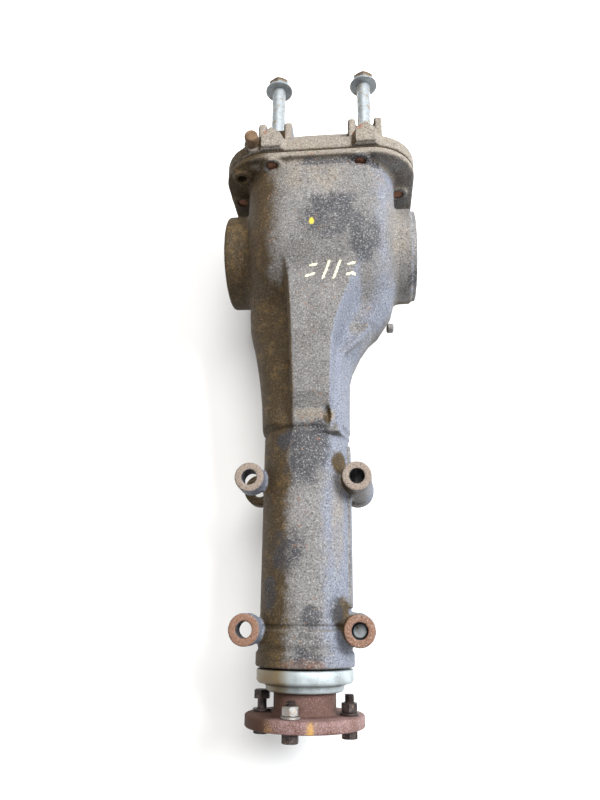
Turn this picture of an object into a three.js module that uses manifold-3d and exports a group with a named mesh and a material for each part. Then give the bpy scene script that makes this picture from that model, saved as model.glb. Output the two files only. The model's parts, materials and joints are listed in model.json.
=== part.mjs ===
// Long-nose rear differential for a car with independent rear axle shafts.
//
// Working frame, in millimetres: X runs along the axle shafts, Y along the drive pinion with +Y to the
// rear cover, and Z up. Its origin is where the two axes cross. The whole group is moved at the end, so
// that the finished part has its origin under the middle of its box.

import * as THREE from 'three';
import { mergeVertices } from 'three/addons/utils/BufferGeometryUtils.js';
import Module from 'manifold-3d';

const wasm = await Module();
wasm.setup();

// ---------------------------------------------------------------- driving dimensions

const GAP = 0.3;                      // clearance left between pieces that touch

// sides of round shapes; pieces that sit in each other have the same number
const ROUND = 20;
const SMALL = 12;
const TINY = 8;

// final drive gears
const RING_TEETH = 37;
const PINION_TEETH = 9;
const MODULE = 4;
const FACE_WIDTH = 24;
const RING_BACK_X = 42;

// differential gears
const SIDE_TEETH = 16;
const MATE_TEETH = 10;
const SPIDER_MODULE = 3.5;

// differential case
const CASE_OUTER = 48;
const CASE_INNER = 40;
const CASE_CAVITY_HALF = 30.5;
const CASE_FLANGE_RADIUS = 61.5;
const CASE_FLANGE_THICK = 8;
const TRUNNION_RADIUS = 24;
const AXLE_BORE = 16;
const CROSS_SHAFT_RADIUS = 7;

// carrier bowl, whose height follows from the ring gear
const WALL = 6;
const RING_CLEARANCE = 2.1;
const RING_TIP_RADIUS = RING_TEETH * MODULE / 2 + 0.4;
const BOWL_INNER = RING_TIP_RADIUS + RING_CLEARANCE;
const BOWL_OUTER = BOWL_INNER + WALL;
const BOWL_LEFT = -57;
const BOWL_RIGHT = 89;

// side tubes that hold the side bearings
const SIDE_TUBE_RADIUS = 47.9;
const SIDE_BORE = 38;
const LEFT_FACE = -79.2;
const RIGHT_FACE = 109.7;
const SIDE_BEARING_WIDTH = 17;
const LEFT_BEARING = -67;             // outer end of the left bearing
const RIGHT_BEARING = 97.5;           // outer end of the right bearing

// nose
const NOSE_RADIUS = 39.3;
const NOSE_END_RADIUS = 42.2;
const NOSE_END = -392;
const NOSE_BORE = 30;
const REAR_BEARING = -82;             // rear end of the bearing behind the pinion head
const REAR_BEARING_WIDTH = 24;
const REAR_BEARING_RADIUS = 36;
const FRONT_BEARING = -346;           // rear end of the bearing at the nose
const FRONT_BEARING_WIDTH = 22;
const FRONT_BEARING_RADIUS = 33;
const SEAL_SEAT_RADIUS = 35;

// nose mounting bosses, whose holes are vertical
const BOSS_X = 47.2;
const BOSS_ROWS = [-236.5, -363];
const BOSS_TOP = 38.2;
const BOSS_BOTTOM = -38.2;
const LEFT_BOSS_BOTTOM = 18;          // the two on the left are short lugs
const BOSS_RADIUS = 13.2;
const BOSS_HOLE = 6.65;
const FOOT_RADIUS = 15.5;

// rear joint between carrier and cover
const JOINT_Y = 68;
const CARRIER_FLANGE_THICK = 6;
const COVER_FLANGE_THICK = 12;
const GASKET_THICK = 0.8;
const FLANGE_X = 16;                  // middle of the flange along X
const FLANGE_HALF_X = 94;
const FLANGE_HALF_Z = 88;
const FLANGE_CORNER = 45;
const COVER_BOLT_PLACES = [
  [-28, 78], [56, 78], [94, 24], [94, -24], [56, -78], [-28, -78], [-66, -24], [-66, 24],
];
const COVER_BOLT_RADIUS = 5;
const COVER_BOLT_LENGTH = 22.5;
const BOLT_BOSS_START = 59;
const BOLT_HOLE_START = 52;
const SPARE_BOSS = [-59.4, 64];

// rear cover
const COVER_DEPTH = 50;               // from the joint to the flat back of the dome
const LUG_Z = 45;
const LUG_XS = [-28, 62];
const LUG_END = 122;
const LUG_CHANNEL = 18;
const EAR_THICK = 8;
const LONG_BOLT_RADIUS = 7;
const LONG_BOLT_LENGTH = 85;
const LONG_BOLT_SEAT = 182;           // underside of the heads of the long bolts

// companion flange and dust shield
const HUB_RADIUS = 26.2;
const DISC_RADIUS = 49.9;
const DISC_REAR = -428.1;
const DISC_FRONT = -437.7;
const SHIELD_REAR = -393.6;
const SHIELD_RADIUS = 41.1;
const FLANGE_BOLT_CIRCLE = 38;
const FLANGE_BOLT_RADIUS = 4;
const FLANGE_BOLT_ANGLES = [102, 12, -78, 192];
const PINION_TIP = -433;

// bench frame: lowest point, and the middle of the box, of the finished part
const BREATHER_TOP = 101;
const FLANGE_BOLT_HEAD = 7;
const LONG_BOLT_HEAD = 11.5;
const BOX_BOTTOM = -FLANGE_HALF_Z;
const BOX_MIDDLE_X = (LEFT_FACE + FLANGE_X + FLANGE_HALF_X) / 2;
const BOX_MIDDLE_Y = (LONG_BOLT_SEAT + LONG_BOLT_HEAD + DISC_FRONT - FLANGE_BOLT_HEAD - GAP) / 2;

// ---------------------------------------------------------------- finishes

const FINISH = {
  castIron: { color: 0x6d6760, roughness: 0.8, metalness: 0.35 },
  rust: { color: 0x7c4a36, roughness: 0.85, metalness: 0.2 },
  zinc: { color: 0xb9bdc0, roughness: 0.35, metalness: 0.9 },
  shield: { color: 0xa9aa9c, roughness: 0.55, metalness: 0.5 },
  darkSteel: { color: 0x3a3431, roughness: 0.55, metalness: 0.7 },
  gearSteel: { color: 0x8c8f92, roughness: 0.35, metalness: 0.9 },
  rubber: { color: 0x1d1d1f, roughness: 0.8, metalness: 0 },
  gasket: { color: 0x3e4a45, roughness: 0.9, metalness: 0 },
};

// ---------------------------------------------------------------- geometry helpers

const AIM = {
  x: geometry => geometry.rotateZ(-Math.PI / 2),
  y: geometry => geometry,
  z: geometry => geometry.rotateX(Math.PI / 2),
};

const rad = degrees => degrees * Math.PI / 180;

function shoelace(points) {
  let sum = 0;
  points.forEach(([u, v], i) => {
    const [nextU, nextV] = points[(i + 1) % points.length];
    sum += u * nextV - nextU * v;
  });
  return sum / 2;
}

// A turned piece. Its profile is a list of [radius, place along the axis]. It starts and ends on the
// axis, or it is the outline of a ring, which is closed here.
function turned(axis, profile, segments = ROUND, centre = [0, 0, 0]) {
  const points = shoelace(profile) < 0 ? [...profile].reverse() : [...profile];
  const onAxis = points.some(([radius]) => radius === 0);
  if (onAxis) {
    while (points[0][0] !== 0 || points[points.length - 1][0] !== 0) points.push(points.shift());
  } else {
    points.push(points[0]);
  }
  const lathe = new THREE.LatheGeometry(points.map(p => new THREE.Vector2(...p)), segments);
  return AIM[axis](lathe).translate(...centre);
}

function rod(axis, radius, start, end, centre = [0, 0, 0], segments = ROUND) {
  return turned(axis, [[0, start], [radius, start], [radius, end], [0, end]], segments, centre);
}

// The radius of a hole with flat sides that leave room for a round pin, whichever way it is turned.
function roomFor(radius, sides) {
  return (radius + GAP) / Math.cos(Math.PI / sides);
}

function hole(axis, radius, start, end, centre = [0, 0, 0], segments = TINY) {
  return rod(axis, roomFor(radius, segments), start, end, centre, segments);
}

function tube(axis, outer, inner, start, end, segments = ROUND) {
  return turned(axis, [[inner, start], [outer, start], [outer, end], [inner, end]], segments);
}

function box(x0, x1, y0, y1, z0, z1) {
  const geometry = new THREE.BoxGeometry(x1 - x0, y1 - y0, z1 - z0);
  return geometry.translate((x0 + x1) / 2, (y0 + y1) / 2, (z0 + z1) / 2);
}

// A flat outline in X and Z that reaches from y = start to y = end.
function slabAlongY(shape, start, end, curveSegments = 6) {
  const settings = { depth: end - start, bevelEnabled: false, curveSegments };
  return new THREE.ExtrudeGeometry(shape, settings).rotateX(Math.PI / 2).translate(0, end, 0);
}

function roundedRectangle(middleX, halfX, halfZ, corner, middleZ = 0) {
  const shape = new THREE.Shape();
  const left = middleX - halfX;
  const right = middleX + halfX;
  const low = middleZ - halfZ;
  const high = middleZ + halfZ;
  shape.moveTo(left + corner, low);
  shape.lineTo(right - corner, low);
  shape.absarc(right - corner, low + corner, corner, -Math.PI / 2, 0);
  shape.lineTo(right, high - corner);
  shape.absarc(right - corner, high - corner, corner, 0, Math.PI / 2);
  shape.lineTo(left + corner, high);
  shape.absarc(left + corner, high - corner, corner, Math.PI / 2, Math.PI);
  shape.lineTo(left, low + corner);
  shape.absarc(left + corner, low + corner, corner, Math.PI, Math.PI * 1.5);
  return shape;
}

function mirroredOutline(halfOutline) {
  const upper = halfOutline.map(([x, z]) => new THREE.Vector2(x, z));
  const lower = [...halfOutline].reverse().map(([x, z]) => new THREE.Vector2(x, -z));
  return new THREE.Shape([...upper, ...lower].reverse());
}

// A closed skin over rings of points. Neighbouring rings may have different numbers of points, as long
// as both run round the same way from the same side. A ring of one point closes an end.
function skin(rings, loop = false) {
  const positions = [];
  const firsts = rings.map(ring => {
    const first = positions.length / 3;
    ring.forEach(point => positions.push(...point));
    return first;
  });
  const faces = [];
  const count = loop ? rings.length : rings.length - 1;
  for (let k = 0; k < count; k += 1) {
    const next = (k + 1) % rings.length;
    stitch(rings[k].length, firsts[k], rings[next].length, firsts[next], faces);
  }
  const geometry = new THREE.BufferGeometry();
  geometry.setAttribute('position', new THREE.Float32BufferAttribute(positions, 3));
  geometry.setIndex(faces);
  return facingOut(geometry);
}

function stitch(countA, firstA, countB, firstB, faces) {
  let a = 0;
  let b = 0;
  while (a < countA || b < countB) {
    const stepA = countA > 1 && a < countA && (b >= countB || (a + 1) / countA <= (b + 1) / countB);
    const hereA = firstA + a % countA;
    const hereB = firstB + b % countB;
    if (stepA) {
      faces.push(hereA, firstA + (a + 1) % countA, hereB);
      a += 1;
    } else if (countB > 1 && b < countB) {
      faces.push(hereA, firstB + (b + 1) % countB, hereB);
      b += 1;
    } else {
      return;
    }
  }
}

function signedVolume(geometry) {
  const place = geometry.attributes.position;
  const corner = [new THREE.Vector3(), new THREE.Vector3(), new THREE.Vector3()];
  let sum = 0;
  for (let i = 0; i < geometry.index.count; i += 3) {
    corner.forEach((point, k) => point.fromBufferAttribute(place, geometry.index.getX(i + k)));
    sum += corner[0].dot(corner[1].cross(corner[2]));
  }
  return sum / 6;
}

function facingOut(geometry) {
  if (signedVolume(geometry) < 0) {
    const index = geometry.index.array;
    for (let i = 0; i < index.length; i += 3) [index[i], index[i + 1]] = [index[i + 1], index[i]];
  }
  return geometry;
}

function circleRing(sides, radius, at, phase = 0) {
  return Array.from({ length: sides }, (_, i) => {
    const angle = phase + 2 * Math.PI * i / sides;
    return [radius * Math.cos(angle), at, radius * Math.sin(angle)];
  });
}

// ---------------------------------------------------------------- joining and cutting

function manifoldOf(geometry) {
  const bare = geometry.clone();
  bare.deleteAttribute('normal');
  bare.deleteAttribute('uv');
  const merged = mergeVertices(bare, 1e-4);
  const corners = merged.index.array;
  const kept = [];
  for (let i = 0; i < corners.length; i += 3) {
    const [a, b, c] = corners.slice(i, i + 3);
    if (a !== b && b !== c && c !== a) kept.push(a, b, c);
  }
  const vertProperties = new Float32Array(merged.attributes.position.array);
  return new wasm.Manifold(new wasm.Mesh({ numProp: 3, vertProperties, triVerts: new Uint32Array(kept) }));
}

function join(geometries) {
  return geometries.map(manifoldOf).reduce((whole, piece) => whole.add(piece));
}

function cut(whole, geometries) {
  return geometries.map(manifoldOf).reduce((rest, tool) => rest.subtract(tool), whole);
}

function geometryOf(manifold) {
  const mesh = manifold.getMesh();
  const geometry = new THREE.BufferGeometry();
  geometry.setAttribute('position', new THREE.Float32BufferAttribute(mesh.vertProperties, 3));
  geometry.setIndex(Array.from(mesh.triVerts));
  geometry.computeVertexNormals();
  return geometry;
}

const assembly = new THREE.Group();

function addPart(name, shape, finish) {
  const geometry = shape instanceof THREE.BufferGeometry ? shape : geometryOf(shape);
  const material = new THREE.MeshStandardMaterial(FINISH[finish]);
  const mesh = new THREE.Mesh(geometry, material);
  mesh.name = name;
  assembly.add(mesh);
  return mesh;
}

// ---------------------------------------------------------------- bevel gears

const involute = angle => Math.tan(angle) - angle;

// Half the angle that a tooth takes up, at the height h over the pitch cone, on the back cone's gear.
function toothHalfAngle(pitchRadius, pressure, thickness, h) {
  const baseRadius = pitchRadius * Math.cos(pressure);
  const radius = Math.max(pitchRadius + h, baseRadius);
  return thickness / (2 * pitchRadius) + involute(pressure) - involute(Math.acos(baseRadius / radius));
}

// A bevel gear with its apex at the origin and its axis on +Y. Its flank heights are the places from
// root to tip, over the pitch cone and in modules, where a tooth's sides have points. The tail rings close it behind the
// teeth and the nose rings in front, each as [radius, place on the axis]. With no ring on the axis the
// last nose ring joins the first tail ring, which leaves a bore.
function bevelGear(gear) {
  const coneAngle = Math.atan2(gear.teeth, gear.mate);
  const outerCone = gear.module * gear.teeth / 2 / Math.sin(coneAngle);
  const backRadius = outerCone * Math.tan(coneAngle);
  const thickness = gear.module * (Math.PI / 2 + 2 * gear.shift * Math.tan(gear.pressure)) - gear.backlash;
  const heights = gear.flankHeights.map(h => h * gear.module);
  const flank = heights.map(h => {
    const half = toothHalfAngle(backRadius, gear.pressure, thickness, h) / Math.cos(coneAngle);
    return { h, half };
  });
  const outline = [...flank.map(p => [p.h, -p.half]), ...flank.reverse().map(p => [p.h, p.half])];
  const sections = Array.from({ length: gear.sections }, (_, k) => {
    const along = k / (gear.sections - 1);
    const scale = 1 - along * gear.faceWidth / outerCone;
    const twist = gear.phase + gear.twist * (along - 0.5);
    const ring = [];
    for (let tooth = 0; tooth < gear.teeth; tooth += 1) {
      const middle = twist + 2 * Math.PI * tooth / gear.teeth;
      outline.forEach(([h, turn]) => {
        const radius = scale * (outerCone * Math.sin(coneAngle) + h * Math.cos(coneAngle));
        const place = scale * (outerCone * Math.cos(coneAngle) - h * Math.sin(coneAngle));
        ring.push([radius * Math.cos(middle + turn), place, radius * Math.sin(middle + turn)]);
      });
    }
    return ring;
  });
  const plain = (list, twist) => list.map(([radius, at]) => (
    radius === 0 ? [[0, at, 0]] : circleRing(gear.teeth * gear.circleSides, radius, at, twist)
  ));
  const halfPitch = Math.PI / gear.teeth;
  const tail = plain(gear.tail, gear.phase - gear.twist / 2 - halfPitch * 0.5);
  const nose = plain(gear.nose, gear.phase + gear.twist / 2 - halfPitch * 0.5);
  const loop = gear.nose[gear.nose.length - 1][0] !== 0;
  return skin([...tail, ...sections, ...nose], loop);
}

const FINAL_DRIVE = {
  module: MODULE,
  faceWidth: FACE_WIDTH,
  pressure: rad(20),
  backlash: 0.35,
  sections: 3,
};
const PINION_TWIST = rad(26);

const SPIDER = {
  module: SPIDER_MODULE,
  faceWidth: 11,
  pressure: rad(25),
  backlash: 0.35,
  flankHeights: [-0.95, 0.75],
  shift: 0,
  sections: 2,
  twist: 0,
};

// ---------------------------------------------------------------- fasteners

// Places a piece that was made round +Y, with its seat at the origin, at a point and pointing elsewhere.
function place(geometry, point, direction = [0, 1, 0]) {
  const turn = new THREE.Quaternion();
  turn.setFromUnitVectors(new THREE.Vector3(0, 1, 0), new THREE.Vector3(...direction));
  return geometry.applyQuaternion(turn).translate(...point);
}

// A hexagon bolt. Its shank runs from the seat along +Y and its head stands the other way.
function hexBolt({ radius, length, acrossFlats, headHeight, collar = 0, collarHeight = 0 }) {
  const corner = acrossFlats / Math.sqrt(3);
  const rings = [
    [[0, -headHeight, 0]],
    circleRing(6, corner, -headHeight),
    circleRing(6, corner, -collarHeight),
  ];
  if (collar > 0) {
    rings.push(circleRing(TINY, collar, -collarHeight), circleRing(TINY, collar, 0));
  }
  rings.push(
    circleRing(TINY, radius, 0),
    circleRing(TINY, radius, length),
    [[0, length, 0]],
  );
  return skin(rings);
}

function hexNut({ radius, acrossFlats, height }) {
  const corner = acrossFlats / Math.sqrt(3);
  const bore = roomFor(radius, TINY);
  return skin([
    circleRing(6, corner, 0),
    circleRing(6, corner, height),
    circleRing(TINY, bore, height),
    circleRing(TINY, bore, 0),
  ], true);
}

function washer(boltRadius, radius, thick) {
  return tube('y', radius, roomFor(boltRadius, SMALL), -thick, 0, SMALL);
}

// ---------------------------------------------------------------- carrier housing

// The casting is given as four nodes along Y, so that each of them has its own collision pieces.
const NOSE_SPLIT = -196;
const SHOULDER_SPLIT = -50;
const FLANGE_SPLIT = 44.7;
const BEYOND = 500;

// Half outlines of the bowl in X and Z. Turned about X they give the front of the bowl, and drawn out
// along Y its straight rear part, so that the ring gear can be put in from behind.
const BOWL_SKIN = [
  [BOWL_LEFT, 44], [-53, 58], [-42, 70], [-27, 78], [-8, BOWL_OUTER - 0.8], [18, BOWL_OUTER],
  [46, BOWL_OUTER - 0.8], [64, 79], [77, 71], [85, 59], [BOWL_RIGHT, 44],
];
const BOWL_CAVITY = [
  [BOWL_LEFT + WALL, 40], [-45, 52], [-32, 62], [-12, BOWL_INNER],
  [44, BOWL_INNER], [52, 66], [66, 60], [79, 42],
];

// Cross sections of the shoulder that leads from the bowl to the nose:
// place on Y, left edge, right edge, half height.
const SHOULDER = [
  [-40, -56, 84, 50],
  [-66, -57, 83, 46],
  [-84, -56, 70, 44],
  [-100, -52, 57, 43],
  [-118, -48, 48, 42],
  [-143, -45, 41.5, 40.6],
  [-187, -42.5, 41, 40.6],
];

function roundedSection(y, left, right, halfHeight, squareness = 2.6, points = 20) {
  const middle = (left + right) / 2;
  const half = (right - left) / 2;
  return Array.from({ length: points }, (_, i) => {
    const angle = 2 * Math.PI * i / points;
    const across = Math.sign(Math.cos(angle)) * Math.abs(Math.cos(angle)) ** (2 / squareness);
    const up = Math.sign(Math.sin(angle)) * Math.abs(Math.sin(angle)) ** (2 / squareness);
    return [middle + half * across, y, halfHeight * up];
  });
}

function shoulderLoft() {
  const rings = SHOULDER.map(([y, left, right, half]) => roundedSection(y, left, right, half));
  const [firstY, lastY] = [SHOULDER[0][0], SHOULDER[SHOULDER.length - 1][0]];
  return skin([[[0, firstY, 0]], ...rings, [[0, lastY, 0]]]);
}

// The raised rib on top, from the bowl to the nose, with a slanted front end.
const RIB_TOP = [
  { y: -20, left: -16, right: 62, z: 76 },
  { y: -62, left: -12, right: 46, z: 70 },
  { y: -84, left: -11.5, right: 37, z: 66 },
  { y: -110, left: -11, right: 31, z: 61.5 },
  { y: -176, left: -10, right: 29.5, z: 51.5 },
  { y: -192, left: -5, right: 28, z: 38 },
];

function topRib() {
  const draft = 5;
  const rings = RIB_TOP.map(({ y, left, right, z }) => [
    [left - draft, y, 20], [right + draft, y, 20],
    [right + 1, y, z - 4], [right - 4, y, z], [left + 3, y, z], [left - 0.5, y, z - 3],
  ]);
  const first = RIB_TOP[0];
  const last = RIB_TOP[RIB_TOP.length - 1];
  return skin([[[10, first.y, 40]], ...rings, [[10, last.y, 30]]]);
}

function noseBoss(side, y, hasFoot) {
  const x = side * BOSS_X;
  const isLug = side < 0;
  const column = rod('z', BOSS_RADIUS, isLug ? LEFT_BOSS_BOTTOM : BOSS_BOTTOM, BOSS_TOP, [x, y, 0], SMALL);
  const webEnd = isLug ? x + BOSS_HOLE + 3 : x;
  const web = box(Math.min(0, webEnd), Math.max(0, webEnd), y - 10, y + 10, -22, 22);
  if (!hasFoot) return [column, web];
  const foot = rod('z', FOOT_RADIUS, BOSS_BOTTOM, BOSS_BOTTOM + 17, [x, y, 0], SMALL);
  const arm = box(Math.min(0, x), Math.max(0, x), y - 14, y + 22, BOSS_BOTTOM + 4, BOSS_BOTTOM + 15);
  return [column, web, foot, arm];
}

// A curved edge of the casting on its right side, from the bowl's flank to the nose.
const FLANK_RIDGE = [
  [54.9, -104.6, 35], [44.9, -113.2, 35], [36, -122.4, 35], [32.6, -137.6, 35], [32.1, -188.7, 35],
];
const FLANK_RIDGE_RADIUS = 3;

function flankRidge() {
  return FLANK_RIDGE.slice(1).map((end, i) => {
    const start = new THREE.Vector3(...FLANK_RIDGE[i]);
    const way = new THREE.Vector3(...end).sub(start);
    const length = way.length() + FLANK_RIDGE_RADIUS;
    const direction = way.normalize().toArray();
    const seat = FLANK_RIDGE[i];
    return place(rod('y', FLANK_RIDGE_RADIUS, 0, length, [0, 0, 0], TINY), seat, direction);
  });
}

// The nose has a groove and a bead near its end, and a low ridge where the shoulder starts.
function noseBarrel() {
  const groove = NOSE_RADIUS - 1.4;
  const neck = NOSE_END_RADIUS - 1.6;
  return turned('y', [
    [0, NOSE_END], [NOSE_END_RADIUS, NOSE_END], [NOSE_END_RADIUS, -380.5], [neck, -379.5], [neck, -376.5],
    [NOSE_END_RADIUS - 0.8, -375.5], [NOSE_RADIUS + 1, -363], [groove, -362.2], [groove, -359.4],
    [NOSE_RADIUS, -358.4], [NOSE_RADIUS, -193], [NOSE_RADIUS + 1.6, -191], [NOSE_RADIUS + 1.6, -186],
    [NOSE_RADIUS, -185], [NOSE_RADIUS, -80], [0, -80],
  ]);
}

function carrierHousing() {
  const nose = noseBarrel();
  const bowlFront = turned('x', [[0, BOWL_LEFT], ...BOWL_SKIN.map(([x, r]) => [r, x]), [0, BOWL_RIGHT]]);
  const bowlRear = slabAlongY(mirroredOutline(BOWL_SKIN), 0, JOINT_Y - CARRIER_FLANGE_THICK + 2);
  const flangeOutline = roundedRectangle(FLANGE_X, FLANGE_HALF_X, FLANGE_HALF_Z, FLANGE_CORNER);
  const flange = slabAlongY(flangeOutline, JOINT_Y - CARRIER_FLANGE_THICK, JOINT_Y, 5);
  const leftTube = turned('x', [
    [0, LEFT_FACE], [SIDE_TUBE_RADIUS - 2, LEFT_FACE], [SIDE_TUBE_RADIUS, LEFT_FACE + 2],
    [SIDE_TUBE_RADIUS, -40], [0, -40],
  ]);
  const rightTube = turned('x', [
    [0, 70], [SIDE_TUBE_RADIUS, 70], [SIDE_TUBE_RADIUS, RIGHT_FACE - 5],
    [SIDE_TUBE_RADIUS - 2.5, RIGHT_FACE - 2], [SIDE_TUBE_RADIUS - 2.5, RIGHT_FACE], [0, RIGHT_FACE],
  ]);
  const boltBosses = COVER_BOLT_PLACES.map(([x, z]) => (
    rod('y', 10, BOLT_BOSS_START, JOINT_Y - 1, [x, 0, z], SMALL)
  ));
  const spareBoss = rod('y', 9.5, BOLT_BOSS_START - 2, JOINT_Y - 1, [SPARE_BOSS[0], 0, SPARE_BOSS[1]], SMALL);
  const noseBosses = BOSS_ROWS.flatMap((y, row) => [-1, 1].flatMap(side => noseBoss(side, y, row === 0)));
  const edgeRib = box(30, NOSE_RADIUS + 2.2, -330, -190, -7, 5);

  const rearCavity = slabAlongY(mirroredOutline(BOWL_CAVITY), -1, JOINT_Y + 1);
  const profile = BOWL_CAVITY.map(([x, r]) => [r, x]);
  const bowlCavity = turned('x', [[0, BOWL_CAVITY[0][0]], ...profile, [0, 79]]);
  const seatY = REAR_BEARING - REAR_BEARING_WIDTH;
  const noseBore = turned('y', [
    [0, -60], [REAR_BEARING_RADIUS, -60], [REAR_BEARING_RADIUS, seatY], [NOSE_BORE, seatY],
    [NOSE_BORE, FRONT_BEARING], [FRONT_BEARING_RADIUS, FRONT_BEARING], [FRONT_BEARING_RADIUS, -373],
    [SEAL_SEAT_RADIUS, -373], [SEAL_SEAT_RADIUS, NOSE_END - 1], [0, NOSE_END - 1],
  ]);
  const sideBore = rod('x', SIDE_BORE, LEFT_FACE - 1, RIGHT_FACE + 1, [0, 0, 0], ROUND);
  const boltHoles = COVER_BOLT_PLACES.map(([x, z]) => (
    hole('y', COVER_BOLT_RADIUS, BOLT_HOLE_START, JOINT_Y + 1, [x, 0, z])
  ));
  const spareHole = hole('y', 4, BOLT_HOLE_START, JOINT_Y + 1, [SPARE_BOSS[0], 0, SPARE_BOSS[1]]);
  const bossHoles = BOSS_ROWS.flatMap(y => [-1, 1].map(side => (
    rod('z', BOSS_HOLE, BOSS_BOTTOM - 1, BOSS_TOP + 1, [side * BOSS_X, y, 0], SMALL)
  )));

  const outside = join([
    nose, bowlFront, bowlRear, flange, leftTube, rightTube, shoulderLoft(), topRib(), edgeRib,
    ...flankRidge(), ...boltBosses, spareBoss, ...noseBosses,
  ]);
  const beyondJoint = box(-150, 150, JOINT_Y, 150, -150, 150);
  return cut(outside, [
    beyondJoint, rearCavity, bowlCavity, noseBore, sideBore, ...boltHoles, spareHole, ...bossHoles,
  ]);
}

// The part of a solid that lies between two places on Y.
function sliceAlongY(solid, start, end) {
  return solid.intersect(manifoldOf(box(-BEYOND, BEYOND, start, end, -BEYOND, BEYOND)));
}

const carrier = carrierHousing();
addPart('nose_housing', sliceAlongY(carrier, -BEYOND, NOSE_SPLIT - GAP / 2), 'castIron');
addPart('shoulder_housing', sliceAlongY(carrier, NOSE_SPLIT + GAP / 2, SHOULDER_SPLIT - GAP / 2), 'castIron');
addPart('bowl_housing', sliceAlongY(carrier, SHOULDER_SPLIT + GAP / 2, FLANGE_SPLIT - GAP / 2), 'castIron');
addPart('carrier_flange', sliceAlongY(carrier, FLANGE_SPLIT + GAP / 2, BEYOND), 'castIron');

// ---------------------------------------------------------------- rear cover and its gasket

const COVER_FACE = JOINT_Y + GASKET_THICK + 2 * GAP;
const COVER_FLANGE_END = COVER_FACE + COVER_FLANGE_THICK;
const COVER_BACK = JOINT_Y + COVER_DEPTH;

function coverGasket() {
  const gasket = slabAlongY(
    roundedRectangle(FLANGE_X, FLANGE_HALF_X - 1, FLANGE_HALF_Z - 1, FLANGE_CORNER - 1),
    JOINT_Y + GAP, JOINT_Y + GAP + GASKET_THICK, 4);
  const opening = slabAlongY(mirroredOutline(BOWL_CAVITY), JOINT_Y - 1, JOINT_Y + 3);
  const holes = [...COVER_BOLT_PLACES, SPARE_BOSS].map(([x, z]) => (
    hole('y', COVER_BOLT_RADIUS + GAP, JOINT_Y - 1, JOINT_Y + 3, [x, 0, z])
  ));
  return cut(join([gasket]), [opening, ...holes]);
}

function domeLoft(inset, start, end) {
  const steps = [
    [start, 78, 68, 3.4], [end - 18, 74, 64, 3.2], [end - 6, 66, 56, 3], [end, 56, 46, 2.8],
  ];
  const rings = steps.map(([y, halfX, halfZ, square]) => (
    roundedSection(y, FLANGE_X - halfX + inset, FLANGE_X + halfX - inset, halfZ - inset, square, 20)
  ));
  return skin([[[FLANGE_X, start, 0]], ...rings, [[FLANGE_X, end, 0]]]);
}

function coverLug(x) {
  const reach = LUG_CHANNEL / 2;
  const block = box(x - reach - 1, x + reach + 1, COVER_FACE + 5, LUG_END, LUG_Z - 20, LUG_Z + 11);
  const ear = roundedRectangleAlongX(LUG_END + 3, LUG_Z);
  const ears = [-1, 1].map(side => {
    const middle = x + side * (reach + EAR_THICK / 2);
    return ear.clone().translate(middle, 0, 0);
  });
  const stop = box(x - 10.5, x + 10, COVER_FACE + 2, COVER_FACE + 18, LUG_Z, FLANGE_HALF_Z + 6);
  return [block, ...ears, stop];
}

// One side wall of a lug, drawn in Y and Z and centred on x = 0.
function roundedRectangleAlongX(endY, middleZ) {
  const shape = new THREE.Shape();
  const corner = 9;
  const top = middleZ + 24;
  const start = COVER_FACE + 4;
  shape.moveTo(start, middleZ - 25);
  shape.lineTo(endY - 14, middleZ - 25);
  shape.lineTo(endY, middleZ - 8);
  shape.lineTo(endY, top - corner);
  shape.absarc(endY - corner, top - corner, corner, 0, Math.PI / 2);
  shape.lineTo(start, top + 8);
  const settings = { depth: EAR_THICK, bevelEnabled: false, curveSegments: 4 };
  const geometry = new THREE.ExtrudeGeometry(shape, settings);
  // drawn in X and Y and extruded along Z, so X goes to Y, Y to Z, and Z to X
  const turn = new THREE.Matrix4().makeBasis(
    new THREE.Vector3(0, 1, 0), new THREE.Vector3(0, 0, 1), new THREE.Vector3(1, 0, 0));
  return geometry.applyMatrix4(turn).translate(-EAR_THICK / 2, 0, 0);
}

const FILL_PLUG = [FLANGE_X + 30, -4];
const DRAIN_PLUG = [FLANGE_X - 4, -40];
const PLUG_RADIUS = 9;
const PLUG_BOSS = COVER_BACK + 4;
const BREATHER = [-46, 78.5];
const BREATHER_SEAT = FLANGE_HALF_Z + 1;

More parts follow.
